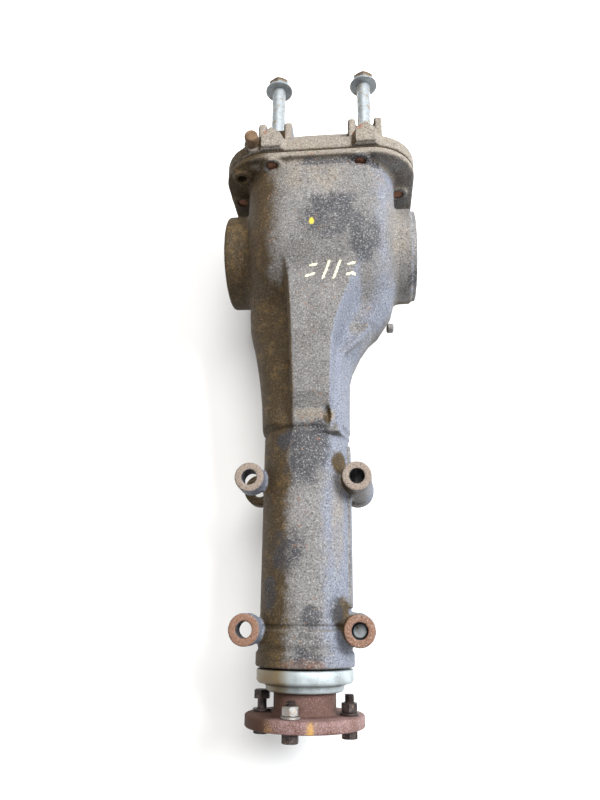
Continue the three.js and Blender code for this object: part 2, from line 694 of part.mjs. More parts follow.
function rearCover() {
  const outline = roundedRectangle(FLANGE_X, FLANGE_HALF_X, FLANGE_HALF_Z, FLANGE_CORNER);
  const flange = slabAlongY(outline, COVER_FACE, COVER_FLANGE_END, 5);
  const fins = [-36, -18, 0, 18, 36].map(offset => (
    box(FLANGE_X + offset - 2, FLANGE_X + offset + 2, COVER_BACK - 8, COVER_BACK + 4, -50, 20)
  ));
  const plugBosses = [FILL_PLUG, DRAIN_PLUG].map(([x, z]) => (
    rod('y', 15, COVER_BACK - 8, PLUG_BOSS, [x, 0, z], SMALL)
  ));
  const breatherSeat = rod('z', 8.5, 55, BREATHER_SEAT, [...BREATHER, 0], SMALL);
  const solid = join([
    flange, domeLoft(0, COVER_FACE + 2, COVER_BACK), ...LUG_XS.flatMap(coverLug), ...fins,
    ...plugBosses, breatherSeat,
  ]);
  const hollow = domeLoft(7, COVER_FACE - 1, COVER_BACK - 7);
  const holes = [...COVER_BOLT_PLACES, SPARE_BOSS].map(([x, z]) => (
    hole('y', COVER_BOLT_RADIUS, COVER_FACE - 1, COVER_FLANGE_END + 1, [x, 0, z])
  ));
  const headSeats = COVER_BOLT_PLACES.map(([x, z]) => (
    rod('y', 11.3, COVER_FLANGE_END, LUG_END + 6, [x, 0, z], SMALL)
  ));
  const lugHoles = LUG_XS.map(x => hole('y', LONG_BOLT_RADIUS, 94, LUG_END + 5, [x, 0, LUG_Z]));
  const plugHoles = [FILL_PLUG, DRAIN_PLUG].map(([x, z]) => (
    hole('y', PLUG_RADIUS, COVER_BACK - 16, PLUG_BOSS + 1, [x, 0, z])
  ));
  const breatherHole = hole('z', 4, 60, BREATHER_TOP, [...BREATHER, 0]);
  return cut(solid, [hollow, ...holes, ...headSeats, ...lugHoles, ...plugHoles, breatherHole]);
}

addPart('cover_gasket', coverGasket(), 'gasket');
addPart('rear_cover', rearCover(), 'castIron');

COVER_BOLT_PLACES.forEach(([x, z], i) => {
  const bolt = hexBolt({
    radius: COVER_BOLT_RADIUS, length: COVER_BOLT_LENGTH, acrossFlats: 14, headHeight: 9, collar: 9.5,
    collarHeight: 2,
  });
  addPart(`cover_bolt_${i + 1}`, place(bolt, [x, COVER_FLANGE_END + GAP, z], [0, -1, 0]), 'rust');
});

function threadedPlug([x, z]) {
  const plug = hexBolt({
    radius: PLUG_RADIUS, length: 14, acrossFlats: 22, headHeight: 9, collar: 13.5, collarHeight: 2,
  });
  return place(plug, [x, PLUG_BOSS + GAP, z], [0, -1, 0]);
}

addPart('fill_plug', threadedPlug(FILL_PLUG), 'darkSteel');
addPart('drain_plug', threadedPlug(DRAIN_PLUG), 'darkSteel');

function breather() {
  const seat = BREATHER_SEAT + GAP;
  const profile = [
    [0, seat - 12], [4, seat - 12], [4, seat], [6.5, seat], [6.5, BREATHER_TOP - 1],
    [5.5, BREATHER_TOP], [0, BREATHER_TOP],
  ];
  return turned('z', profile, SMALL, [...BREATHER, 0]);
}

addPart('breather_plug', breather(), 'rust');

['left', 'right'].forEach((side, i) => {
  const bolt = hexBolt({
    radius: LONG_BOLT_RADIUS, length: LONG_BOLT_LENGTH, acrossFlats: 20, headHeight: LONG_BOLT_HEAD,
    collar: 14.3, collarHeight: 4.5,
  });
  addPart(`${side}_mounting_bolt`, place(bolt, [LUG_XS[i], LONG_BOLT_SEAT, LUG_Z], [0, -1, 0]), 'zinc');
});

function noseMountingBolt() {
  const bolt = hexBolt({
    radius: 6, length: 64, acrossFlats: 17, headHeight: 9, collar: 11.5, collarHeight: 2,
  });
  return place(bolt, [BOSS_X, BOSS_ROWS[1], BOSS_BOTTOM - GAP], [0, 0, 1]);
}

addPart('nose_mounting_bolt', noseMountingBolt(), 'zinc');

// ---------------------------------------------------------------- tapered roller bearings

// A bearing on the given axis, from its back face to its front face. The back is the face where the
// rollers are widest. Returns the cup's outline and the cone's outline with its row of rollers.
function bearing(axis, back, front, outer, bore) {
  const rise = outer - bore;
  const wide = bore + rise * 0.74;
  const narrow = bore + rise * 0.6;
  const play = 2.5 * GAP;
  const inset = (front - back) * 0.08;
  const cup = [
    [outer - GAP, back + inset], [outer - GAP, front], [narrow + play, front], [wide + play, back + inset],
  ];
  const cone = [
    [bore + GAP, back], [bore + rise * 0.32, back], [wide, back + inset],
    [narrow, front - inset], [bore + rise * 0.22, front - inset], [bore + GAP, front - inset],
  ];
  return { cup: turned(axis, cup, ROUND), cone: turned(axis, cone, ROUND) };
}

const BEARINGS = {
  left_side: bearing('x', LEFT_BEARING + SIDE_BEARING_WIDTH, LEFT_BEARING, SIDE_BORE, TRUNNION_RADIUS),
  right_side: bearing('x', RIGHT_BEARING - SIDE_BEARING_WIDTH, RIGHT_BEARING, SIDE_BORE, TRUNNION_RADIUS),
  rear_pinion: bearing('y', REAR_BEARING, REAR_BEARING - REAR_BEARING_WIDTH + GAP,
    REAR_BEARING_RADIUS, 17.5),
  front_pinion: bearing('y', FRONT_BEARING - FRONT_BEARING_WIDTH, FRONT_BEARING - GAP,
    FRONT_BEARING_RADIUS, 14),
};

Object.entries(BEARINGS).forEach(([name, { cup, cone }]) => {
  addPart(`${name}_bearing_cup`, cup, 'gearSteel');
  addPart(`${name}_bearing_cone`, cone, 'gearSteel');
});

// ---------------------------------------------------------------- side adjusters and axle seals

const ADJUSTER_THICK = 5.5;
const SEAL_BORE = AXLE_BORE + 1;

function sealProfile(inner, outer, near, far) {
  const lip = (near + far) / 2;
  return [
    [outer, near], [outer, far], [inner + 4, far], [inner, lip + (far - near) * 0.2], [inner, lip],
    [inner + 3, near],
  ];
}

[['left', LEFT_BEARING, -1], ['right', RIGHT_BEARING, 1]].forEach(([side, bearingEnd, out]) => {
  const start = bearingEnd + out * GAP;
  const end = start + out * ADJUSTER_THICK;
  addPart(`${side}_bearing_adjuster`, tube('x', SIDE_BORE - GAP, 27, start, end), 'darkSteel');
  const seal = sealProfile(SEAL_BORE, SIDE_BORE - GAP, end + out * GAP, end + out * (GAP + 5));
  addPart(`${side}_axle_seal`, turned('x', seal, ROUND), 'rubber');
});

// ---------------------------------------------------------------- drive pinion and what sits on it

const PINION_HEAD_BACK = REAR_BEARING + GAP;

function drivePinion() {
  const back = -PINION_HEAD_BACK;
  const gear = bevelGear({
    ...FINAL_DRIVE,
    teeth: PINION_TEETH,
    mate: RING_TEETH,
    flankHeights: [-0.55, 0.2, 1.05],
    shift: 0.35,
    twist: PINION_TWIST,
    phase: Math.PI / PINION_TEETH,
    circleSides: 2,
    tail: [
      [0, -PINION_TIP], [10, -PINION_TIP], [10, 416], [13, 416], [13, 368.3], [14, 368.3],
      [14, -FRONT_BEARING - 2], [17.5, 112], [17.5, back], [20, back],
    ],
    nose: [[9, 50], [0, 50]],
  });
  return gear.rotateX(Math.PI);
}

addPart('drive_pinion', drivePinion(), 'gearSteel');

const SPACER_REAR = REAR_BEARING - REAR_BEARING_WIDTH - GAP;
const SPACER_FRONT = FRONT_BEARING + GAP;
const SPACER_OUTLINE = [
  [17.9, SPACER_REAR], [22, SPACER_REAR], [22, -300], [20, SPACER_FRONT], [17.6, SPACER_FRONT],
];
addPart('pinion_spacer', turned('y', SPACER_OUTLINE, ROUND), 'darkSteel');

const SEAL_RUNNER = 20;               // radius of the flange hub inside the oil seal
addPart('pinion_oil_seal', turned('y',
  sealProfile(SEAL_RUNNER + GAP, SEAL_SEAT_RADIUS - GAP, -376, -388), ROUND), 'rubber');

function companionFlange() {
  const nutPocket = DISC_FRONT + 18;
  const body = turned('y', [
    [13 + GAP, -374 + 5], [SEAL_RUNNER, -374 + 5], [SEAL_RUNNER, -402], [HUB_RADIUS, -404.5],
    [HUB_RADIUS, DISC_REAR - 1], [HUB_RADIUS + 1.5, DISC_REAR], [DISC_RADIUS - 1, DISC_REAR],
    [DISC_RADIUS, DISC_REAR - 1], [DISC_RADIUS, DISC_FRONT + 1], [DISC_RADIUS - 1, DISC_FRONT],
    [30, DISC_FRONT], [30, DISC_FRONT + 2], [21, DISC_FRONT + 2], [21, nutPocket], [13 + GAP, nutPocket],
  ]);
  const holes = FLANGE_BOLT_ANGLES.map(angle => {
    const centre = flangeBoltPlace(angle, 0);
    return hole('y', FLANGE_BOLT_RADIUS, DISC_FRONT - 1, DISC_REAR + 1, centre);
  });
  return cut(join([body]), holes);
}

function flangeBoltPlace(angle, y) {
  const x = FLANGE_BOLT_CIRCLE * Math.cos(rad(angle));
  const z = FLANGE_BOLT_CIRCLE * Math.sin(rad(angle));
  return [x, y, z];
}

addPart('companion_flange', companionFlange(), 'rust');

const SHIELD_OUTLINE = [
  [SHIELD_RADIUS, SHIELD_REAR], [SHIELD_RADIUS, -402.8], [SHIELD_RADIUS - 1.6, -404.4],
  [32.5, -405.2], [30.8, -408.6], [28.4, -411], [HUB_RADIUS + GAP, -411], [HUB_RADIUS + GAP, -405.5],
  [SHIELD_RADIUS - 2.2, -401.8], [SHIELD_RADIUS - 2.2, SHIELD_REAR],
];
addPart('dust_shield', turned('y', SHIELD_OUTLINE), 'shield');

const PINION_NUT_SEAT = DISC_FRONT + 18 - GAP;
addPart('pinion_nut', place(
  hexNut({ radius: 10, acrossFlats: 30, height: 14 }), [0, PINION_NUT_SEAT, 0], [0, -1, 0]), 'darkSteel');

// Three bolts have their heads on the front of the disc. The one at the left was put in the other way
// round and its head stands clear of the washer.
const REVERSED_BOLT = 3;
FLANGE_BOLT_ANGLES.forEach((angle, i) => {
  const reversed = i === REVERSED_BOLT;
  const bolt = hexBolt({
    radius: FLANGE_BOLT_RADIUS, length: 26.5, acrossFlats: 13,
    headHeight: FLANGE_BOLT_HEAD,
  });
  const lift = 8;
  const seat = reversed ? DISC_REAR + 2 + lift : DISC_FRONT - GAP;
  const direction = reversed ? [0, -1, 0] : [0, 1, 0];
  addPart(`flange_bolt_${i + 1}`, place(bolt, flangeBoltPlace(angle, seat), direction), 'darkSteel');
  const washerFace = DISC_REAR + GAP + 2;
  const ring = washer(FLANGE_BOLT_RADIUS, 8, 2);
  addPart(`flange_washer_${i + 1}`, place(ring, flangeBoltPlace(angle, washerFace)), 'darkSteel');
  const nut = hexNut({ radius: FLANGE_BOLT_RADIUS, acrossFlats: 13, height: 7 });
  const nutFace = reversed ? DISC_FRONT - GAP : washerFace + GAP;
  const nutDirection = reversed ? [0, -1, 0] : [0, 1, 0];
  addPart(`flange_nut_${i + 1}`, place(nut, flangeBoltPlace(angle, nutFace), nutDirection), 'darkSteel');
});

// ---------------------------------------------------------------- ring gear and differential case

const RING_BOLT_CIRCLE = 54.5;
const RING_BOLT_RADIUS = 5;
const RING_BOLTS = 8;

function ringGear() {
  const gear = bevelGear({
    ...FINAL_DRIVE,
    teeth: RING_TEETH,
    mate: PINION_TEETH,
    flankHeights: [-1.25, 0.35],
    shift: -0.35,
    twist: -PINION_TWIST * PINION_TEETH / RING_TEETH,
    phase: 0,
    circleSides: 1,
    tail: [[RING_TIP_RADIUS - 1, RING_BACK_X], [RING_TIP_RADIUS - 0.4, RING_BACK_X - 2]],
    nose: [[CASE_OUTER + GAP, 17], [CASE_OUTER + GAP, RING_BACK_X]],
  });
  const bolts = Array.from({ length: RING_BOLTS }, (_, i) => {
    const angle = 2 * Math.PI * i / RING_BOLTS;
    const seat = RING_BACK_X + CASE_FLANGE_THICK + 2 * GAP;
    const centre = [0, RING_BOLT_CIRCLE * Math.cos(angle), RING_BOLT_CIRCLE * Math.sin(angle)];
    const shank = rod('x', RING_BOLT_RADIUS, RING_BACK_X - 1, seat + 1, centre, TINY);
    return [shank, rod('x', 7.5, seat, seat + 6, centre, 6)];
  });
  return join([AIM.x(gear), ...bolts.flat()]);
}

addPart('ring_gear', ringGear(), 'gearSteel');

function differentialCase() {
  const flangeStart = RING_BACK_X + GAP;
  const flangeEnd = flangeStart + CASE_FLANGE_THICK;
  const leftShoulder = LEFT_BEARING + SIDE_BEARING_WIDTH + GAP;
  const rightShoulder = RIGHT_BEARING - SIDE_BEARING_WIDTH - GAP;
  const body = turned('x', [
    [0, LEFT_BEARING + 1], [TRUNNION_RADIUS, LEFT_BEARING + 1], [TRUNNION_RADIUS, leftShoulder],
    [30, leftShoulder], [32, -44], [CASE_OUTER - 6, -40], [CASE_OUTER, -32], [CASE_OUTER, flangeStart],
    [CASE_FLANGE_RADIUS, flangeStart], [CASE_FLANGE_RADIUS, flangeEnd], [40, flangeEnd],
    [31, 60], [29, rightShoulder], [TRUNNION_RADIUS, rightShoulder],
    [TRUNNION_RADIUS, RIGHT_BEARING - 1], [0, RIGHT_BEARING - 1],
  ]);
  const cavity = rod('x', CASE_INNER, -CASE_CAVITY_HALF, CASE_CAVITY_HALF);
  const hubBore = rod('x', 20, -44, 44);
  const axleBore = rod('x', AXLE_BORE, LEFT_BEARING - 1, RIGHT_BEARING + 1);
  const window = box(-18, 18, -60, 60, -24, 24);
  const shaftHole = hole('z', CROSS_SHAFT_RADIUS, -60, 60);
  const pinHole = hole('x', LOCK_PIN_RADIUS, -60, LOCK_PIN_END + GAP, [0, 0, LOCK_PIN_Z]);
  const boltHoles = Array.from({ length: RING_BOLTS }, (_, i) => {
    const angle = 2 * Math.PI * i / RING_BOLTS;
    const centre = [0, RING_BOLT_CIRCLE * Math.cos(angle), RING_BOLT_CIRCLE * Math.sin(angle)];
    return hole('x', RING_BOLT_RADIUS, flangeStart - 1, flangeEnd + 1, centre);
  });
  return cut(join([body]), [cavity, hubBore, axleBore, window, shaftHole, pinHole, ...boltHoles]);
}

const LOCK_PIN_RADIUS = 2;
const LOCK_PIN_Z = 44;
const LOCK_PIN_END = 14;

addPart('differential_case', differentialCase(), 'castIron');

const CROSS_SHAFT_HALF = CASE_OUTER - 0.4;
addPart('cross_shaft', cut(
  join([rod('z', CROSS_SHAFT_RADIUS, -CROSS_SHAFT_HALF, CROSS_SHAFT_HALF, [0, 0, 0], SMALL)]),
  [hole('x', LOCK_PIN_RADIUS, -20, 20, [0, 0, LOCK_PIN_Z])],
), 'gearSteel');
addPart('lock_pin', rod('x', LOCK_PIN_RADIUS, -30, LOCK_PIN_END, [0, 0, LOCK_PIN_Z], TINY), 'darkSteel');

function sideGear() {
  return bevelGear({
    ...SPIDER,
    teeth: SIDE_TEETH,
    mate: MATE_TEETH,
    phase: Math.PI / SIDE_TEETH,
    circleSides: 1,
    tail: [[14, 42], [19.5, 42], [19.5, 28.6], [27, 28.6], [30, 24]],
    nose: [[16.5, 13.6], [14, 13.6]],
  });
}

function pinionMate() {
  return bevelGear({
    ...SPIDER,
    teeth: MATE_TEETH,
    mate: SIDE_TEETH,
    phase: 0,
    circleSides: 2,
    tail: [[CROSS_SHAFT_RADIUS + GAP, 37.4], [11, 37.4], [16.5, 33.5]],
    nose: [[9.2, 20], [CROSS_SHAFT_RADIUS + GAP, 20]],
  });
}

addPart('left_side_gear', sideGear().rotateZ(Math.PI / 2), 'gearSteel');
addPart('right_side_gear', sideGear().rotateZ(-Math.PI / 2), 'gearSteel');
addPart('upper_pinion_mate', pinionMate().rotateX(Math.PI / 2), 'gearSteel');
addPart('lower_pinion_mate', pinionMate().rotateX(-Math.PI / 2), 'gearSteel');

[['left', -1], ['right', 1]].forEach(([side, out]) => {
  const ring = tube('x', 34, 20, out * 28.9, out * 30.2);
  addPart(`${side}_thrust_washer`, ring, 'darkSteel');
});

// ---------------------------------------------------------------- the finished part

assembly.position.set(-BOX_MIDDLE_X, -BOX_MIDDLE_Y, -BOX_BOTTOM);

export default assembly;
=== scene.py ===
import json
import math
import bpy
import numpy as np
from mathutils import Matrix, Vector


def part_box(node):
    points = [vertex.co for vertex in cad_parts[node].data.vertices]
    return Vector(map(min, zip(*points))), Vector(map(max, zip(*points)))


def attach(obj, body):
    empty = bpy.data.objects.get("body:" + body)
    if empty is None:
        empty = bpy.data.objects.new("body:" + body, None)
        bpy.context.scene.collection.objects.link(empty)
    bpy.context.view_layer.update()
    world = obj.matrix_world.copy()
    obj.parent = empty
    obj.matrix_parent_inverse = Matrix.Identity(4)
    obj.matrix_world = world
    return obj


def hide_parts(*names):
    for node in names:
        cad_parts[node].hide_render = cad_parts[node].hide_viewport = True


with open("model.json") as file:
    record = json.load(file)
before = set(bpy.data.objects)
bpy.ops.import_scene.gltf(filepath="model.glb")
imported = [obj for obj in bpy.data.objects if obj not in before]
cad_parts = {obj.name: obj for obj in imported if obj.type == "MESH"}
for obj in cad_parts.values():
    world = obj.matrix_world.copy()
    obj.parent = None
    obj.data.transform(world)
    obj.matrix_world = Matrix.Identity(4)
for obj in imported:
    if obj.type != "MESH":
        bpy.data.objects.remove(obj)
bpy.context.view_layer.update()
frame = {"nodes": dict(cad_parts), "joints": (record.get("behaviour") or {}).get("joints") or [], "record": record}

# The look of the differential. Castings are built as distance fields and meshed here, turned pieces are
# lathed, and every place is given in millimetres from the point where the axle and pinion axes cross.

CENTRE = Vector(next(j for j in frame["joints"] if j["name"] == "case_spin")["pos_m"])
MM = 0.001

CARRIER_STEP = 1.3     # grid of the castings, in millimetres
COVER_STEP = 1.1
ROUND = 96                               # sides of turned pieces
SHARP_EDGES = 32                         # edges that turn by more degrees than this look sharp
TURNED_EDGES = 40


def to_row(point):
    """A point in millimetres from the crossing of the axes, in the row frame in metres."""
    return CENTRE + Vector(point) * MM


def node_range(name):
    """The lowest and highest corner of a CAD node, in millimetres from the crossing."""
    low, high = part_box(name)
    return (low - CENTRE) / MM, (high - CENTRE) / MM


# ---------------------------------------------------------------- distance fields

def smooth_step(low, high, value):
    t = np.clip((value - low) / (high - low), 0, 1)
    return t * t * (3 - 2 * t)


def smooth_min(a, b, blend):
    if blend <= 0:
        return np.minimum(a, b)
    h = np.clip(0.5 + 0.5 * (b - a) / blend, 0, 1)
    return b + (a - b) * h - blend * h * (1 - h)


def smooth_max(a, b, blend):
    return -smooth_min(-a, -b, blend)


class Field:
    """A grid of distances to a surface, in millimetres, negative inside."""

    def __init__(self, low, high, step):
        self.low = np.array(low, np.float32)
        self.step = step
        counts = [int(math.ceil((h - l) / step)) + 1 for l, h in zip(low, high)]
        self.axes = [l + step * np.arange(n, dtype=np.float32) for l, n in zip(low, counts)]
        self.value = np.full(counts, 50.0, np.float32)

    def block(self, low, high, margin):
        cuts = []
        for axis, l, h in zip(self.axes, low, high):
            first = np.searchsorted(axis, l - margin)
            last = np.searchsorted(axis, h + margin)
            cuts.append(slice(first, last))
        x, y, z = (axis[cut] for axis, cut in zip(self.axes, cuts))
        return tuple(cuts), x[:, None, None], y[None, :, None], z[None, None, :]

    def add(self, shape, low, high, blend=2.0):
        cuts, x, y, z = self.block(low, high, blend + 3 * self.step)
        self.value[cuts] = smooth_min(self.value[cuts], shape(x, y, z), blend)

    def take(self, shape, low, high, blend=0.6):
        cuts, x, y, z = self.block(low, high, blend + 3 * self.step)
        self.value[cuts] = smooth_max(self.value[cuts], -shape(x, y, z), blend)

    def add_box(self, low, high, blend=2.0, corner=1.5):
        self.add(box_shape(low, high, corner), low, high, blend)

    def add_rod(self, axis, radius, start, end, centre, blend=2.0, draft=0.0):
        low, high = rod_bounds(axis, radius + abs(draft) * (end - start), start, end, centre)
        self.add(rod_shape(axis, radius, start, end, centre, draft), low, high, blend)

    def take_rod(self, axis, radius, start, end, centre, blend=0.4):
        low, high = rod_bounds(axis, radius, start, end, centre)
        self.take(rod_shape(axis, radius, start, end, centre), low, high, blend)


def box_shape(low, high, corner):
    def shape(x, y, z):
        parts = []
        for value, l, h in zip((x, y, z), low, high):
            parts.append(np.abs(value - (l + h) / 2) - ((h - l) / 2 - corner))
        outside = np.sqrt(sum(np.maximum(p, 0) ** 2 for p in parts))
        inside = np.minimum(np.maximum(np.maximum(parts[0], parts[1]), parts[2]), 0)
        return outside + inside - corner
    return shape


def rod_shape(axis, radius, start, end, centre, draft=0.0):
    """A round bar. With draft it widens by that much for each millimetre from its end to its start."""
    along = "xyz".index(axis)
    across = [i for i in range(3) if i != along]

    def shape(*place):
        t = place[along]
        r = np.sqrt(sum((place[i] - centre[i]) ** 2 for i in across))
        side = r - (radius + draft * (end - t))
        caps = np.maximum(start - t, t - end)
        return np.maximum(side, caps)
    return shape


def rod_bounds(axis, radius, start, end, centre):
    along = "xyz".index(axis)
    low = [c - radius for c in centre]
    high = [c + radius for c in centre]
    low[along], high[along] = start, end
    return low, high


def profile_rod(axis, stations):
    """A body of revolution whose radius follows a list of (place, radius)."""
    along = "xyz".index(axis)
    across = [i for i in range(3) if i != along]
    places, radii = zip(*stations)

    def shape(*place):
        t = place[along]
        r = np.sqrt(sum(place[i] ** 2 for i in across))
        caps = np.maximum(places[0] - t, t - places[-1])
        return np.maximum(r - np.interp(t, places, radii).astype(np.float32), caps)
    return shape


def rounded_rectangle(u, v, middle, half, corner):
    du = np.abs(u - middle[0]) - (half[0] - corner)
    dv = np.abs(v - middle[1]) - (half[1] - corner)
    outside = np.sqrt(np.maximum(du, 0) ** 2 + np.maximum(dv, 0) ** 2)
    return outside + np.minimum(np.maximum(du, dv), 0) - corner


def ellipsoid(centre, radii):
    def shape(x, y, z):
        parts = [(value - c) / r for value, c, r in zip((x, y, z), centre, radii)]
        return (np.sqrt(sum(p ** 2 for p in parts)) - 1) * min(radii)
    return shape


def read_along(stations, y):
    """The values of a list of (place on Y, value, value, ...), each interpolated at y."""
    places, *columns = zip(*sorted(stations))
    return [np.interp(y, places, column).astype(np.float32) for column in columns]


def lofted(stations, squareness):
    """Superellipse sections along Y: (y, left, right, bottom, top)."""
    first, last = min(stations)[0], max(stations)[0]

    def shape(x, y, z):
        left, right, bottom, top = read_along(stations, y)
        u = np.abs(x - (left + right) / 2) / ((right - left) / 2)
        v = np.abs(z - (bottom + top) / 2) / ((top - bottom) / 2)
        size = np.minimum(right - left, top - bottom) / 2
        ring = ((u ** squareness + v ** squareness) ** (1 / squareness) - 1) * size
        return np.maximum(ring, np.maximum(first - y, y - last))
    return shape


def surface_net(field):
    """Vertices in millimetres and quads of the surface where the field is zero."""
    value = field.value
    inside = value < 0
    corner_count = np.zeros([n - 1 for n in value.shape], np.int8)
    for i in (0, 1):
        for j in (0, 1):
            for k in (0, 1):
                corner_count += inside[i:i - 1 or None, j:j - 1 or None, k:k - 1 or None]
    mixed = (corner_count > 0) & (corner_count < 8)
    cells = np.argwhere(mixed)
    index = np.full(mixed.shape, -1, np.int32)
    index[mixed] = np.arange(len(cells))

    total = np.zeros((len(cells), 3))
    hits = np.zeros(len(cells))
    for axis in range(3):
        unit = np.eye(3, dtype=int)[axis]
        others = [np.eye(3, dtype=int)[i] for i in range(3) if i != axis]
        for a in (0, 1):
            for b in (0, 1):
                start = cells + a * others[0] + b * others[1]
                end = start + unit
                v0 = value[tuple(start.T)]
                v1 = value[tuple(end.T)]
                crosses = (v0 < 0) != (v1 < 0)
                share = v0[crosses] / (v0[crosses] - v1[crosses])
                total[crosses] += start[crosses] + share[:, None] * unit
                hits[crosses] += 1
    points = field.low + field.step * total / hits[:, None]

    quads = []
    for axis in range(3):
        u, w = [i for i in range(3) if i != axis]
        moved = [slice(None)] * 3
        moved[axis] = slice(1, None)
        kept = [slice(None)] * 3
        kept[axis] = slice(None, -1)
        edges = np.argwhere(inside[tuple(kept)] != inside[tuple(moved)])
        edges = edges[(edges[:, u] > 0) & (edges[:, w] > 0)]
        back_u = np.eye(3, dtype=int)[u]
        back_w = np.eye(3, dtype=int)[w]
        around = [edges, edges - back_u, edges - back_u - back_w, edges - back_w]
        quad = np.stack([index[tuple(c.T)] for c in around], axis=1)
        leaves = inside[tuple(edges.T)]
        flip = leaves if axis != 1 else ~leaves
        quad[flip] = quad[flip][:, ::-1]
        quads.append(quad)
    return points, np.concatenate(quads)[:, ::-1]


# ---------------------------------------------------------------- meshes and pieces

def mesh_piece(name, points, faces, material, node_slot, body, replaced=(), crease=None):
    """A piece from points in millimetres, put in the row frame, that rides on a body."""
    mesh = bpy.data.meshes.new(name)
    placed = np.asarray(points, float) * MM + np.array(CENTRE)
    mesh.from_pydata(placed.tolist(), [], [list(f) for f in faces])
    mesh.validate()
    mesh.update()
    mesh.shade_smooth()
    if crease:
        mesh.set_sharp_from_angle(angle=math.radians(crease))
    piece = bpy.data.objects.new(name, mesh)
    bpy.context.scene.collection.objects.link(piece)
    mesh.materials.append(material)
    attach(piece, body)
    if replaced:
        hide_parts(*replaced)
    return piece


def mesh_data(piece):
    """Vertex places in millimetres and normals of a piece, as arrays."""
    mesh = piece.data
    places = np.zeros(len(mesh.vertices) * 3, np.float32)
    mesh.vertices.foreach_get("co", places)
    normals = np.zeros(len(mesh.vertices) * 3, np.float32)
    mesh.vertex_normals.foreach_get("vector", normals)
    return (places.reshape(-1, 3) - np.array(CENTRE)) / MM, normals.reshape(-1, 3)


def paint_mask(piece, name, values):
    attribute = piece.data.attributes.new(name, "FLOAT", "POINT")
    attribute.data.foreach_set("value", np.clip(values, 0, 1).astype(np.float32))


def paint(piece, **masks):
    for name, values in masks.items():
        paint_mask(piece, name, values)


def merge(parts):
    """One list of points and faces from several."""
    points, faces = [], []
    for part_points, part_faces in parts:
        first = len(points)
        points += [tuple(p) for p in part_points]
        faces += [tuple(first + i for i in face) for face in part_faces]
    return points, faces


def aimed(part, origin, direction):
    """Moves a part made round +Z at the origin to a point, pointing along a direction."""
    points, faces = part
    turn = Vector((0, 0, 1)).rotation_difference(Vector(direction)).to_matrix()
    return [turn @ Vector(p) + Vector(origin) for p in points], faces


def rings_to_mesh(rings, looped=False):
    """Quads between rings of the same number of points, with a cap at each end."""
    count = len(rings[0])
    points = [p for ring in rings for p in ring]
    faces = []
    spans = len(rings) if looped else len(rings) - 1
    for r in range(spans):
        here = r * count
        there = (r + 1) % len(rings) * count
        for i in range(count):
            j = (i + 1) % count
            faces.append((here + i, here + j, there + j, there + i))
    if not looped:
        faces.append(tuple(reversed(range(count))))
        faces.append(tuple(range(len(points) - count, len(points))))
    return points, faces


def circle(radius, z, sides=ROUND):
    steps = [2 * math.pi * i / sides for i in range(sides)]
    return [(radius * math.cos(a), radius * math.sin(a), z) for a in steps]


def lathe(profile, sides=ROUND, looped=False):
    """A turned piece round +Z from a profile of (radius, z). Sharp corners get a small bevel ring."""
    rings = [circle(r, z, sides) for r, z in beveled(profile, looped)]
    return rings_to_mesh(rings, looped=looped)


def beveled(profile, looped, bevel=0.35):
    """Puts two points in place of each corner of a profile, a little way along its sides."""
    result = []
    last = len(profile) - 1
    for i, (r, z) in enumerate(profile):
        if not looped and i in (0, last):
            result.append((r, z))
            continue
        before = Vector(profile[i - 1])
        after = Vector(profile[(i + 1) % len(profile)])
        here = Vector((r, z))
        for other in (before, after):
            gap = other - here
            length = min(bevel, gap.length * 0.3)
            result.append(tuple(here + gap.normalized() * length) if gap.length else (r, z))
    return result


HEX_SIDES = 60


def hex_radius(across_flats, angle):
    step = math.pi / 3
    off = (angle + step / 2) % step - step / 2
    return across_flats / 2 / math.cos(off)


def hex_prism(across_flats, bottom, top, dish=0.0, bore=0.0, both_ends=False):
    """A hexagon head or nut with the turned chamfer that hexagons are sold with."""
    angles = [2 * math.pi * i / HEX_SIDES for i in range(HEX_SIDES)]
    chamfer_radius = across_flats / 2 * 0.97
    slope = math.tan(math.radians(28))

    def ring(radius_of, z_of):
        return [(radius_of(a) * math.cos(a), radius_of(a) * math.sin(a), z_of(a)) for a in angles]

    def corner(a):
        return hex_radius(across_flats, a) - 0.12

    def drop(a):
        return (hex_radius(across_flats, a) - chamfer_radius) * slope

    rings = []
    if both_ends:
        rings.append(ring(lambda a: chamfer_radius, lambda a: bottom))
        rings.append(ring(corner, lambda a: bottom + drop(a)))
    else:
        rings.append(ring(corner, lambda a: bottom))
    rings.append(ring(corner, lambda a: top - drop(a)))
    rings.append(ring(lambda a: chamfer_radius, lambda a: top))
    if bore:
        rings.append(ring(lambda a: bore + 0.6, lambda a: top))
        rings.append(ring(lambda a: bore, lambda a: top - 0.6))
        rings.append(ring(lambda a: bore, lambda a: bottom + 0.6))
        rings.append(ring(lambda a: bore + 0.6, lambda a: bottom))
        return rings_to_mesh(rings, looped=True)
    if dish:
        rings.append(ring(lambda a: chamfer_radius * 0.72, lambda a: top))
        rings.append(ring(lambda a: chamfer_radius * 0.62, lambda a: top - dish))
    return rings_to_mesh(rings)


def thread(radius, start, end, pitch, depth, sides=36):
    """A screw thread: rings that climb by half a pitch, alternately at the crest and at the root."""
    turns = int(math.ceil((end - start) / pitch)) + 1
    rings = [circle(radius - depth, start, sides)]
    for k in range(2 * turns + 1):
        ring = []
        for i in range(sides):
            angle = 2 * math.pi * i / sides
            z = start + pitch * (k / 2 + i / sides - 1)
            level = min(max(z, start), end)
            crest = k % 2 == 0 and start < z < end
            r = radius if crest else radius - depth
            ring.append((r * math.cos(angle), r * math.sin(angle), level))
        rings.append(ring)
    rings.append(circle(radius - depth - 0.5, end + 0.3, sides))
    return rings_to_mesh(rings)


# ---------------------------------------------------------------- materials

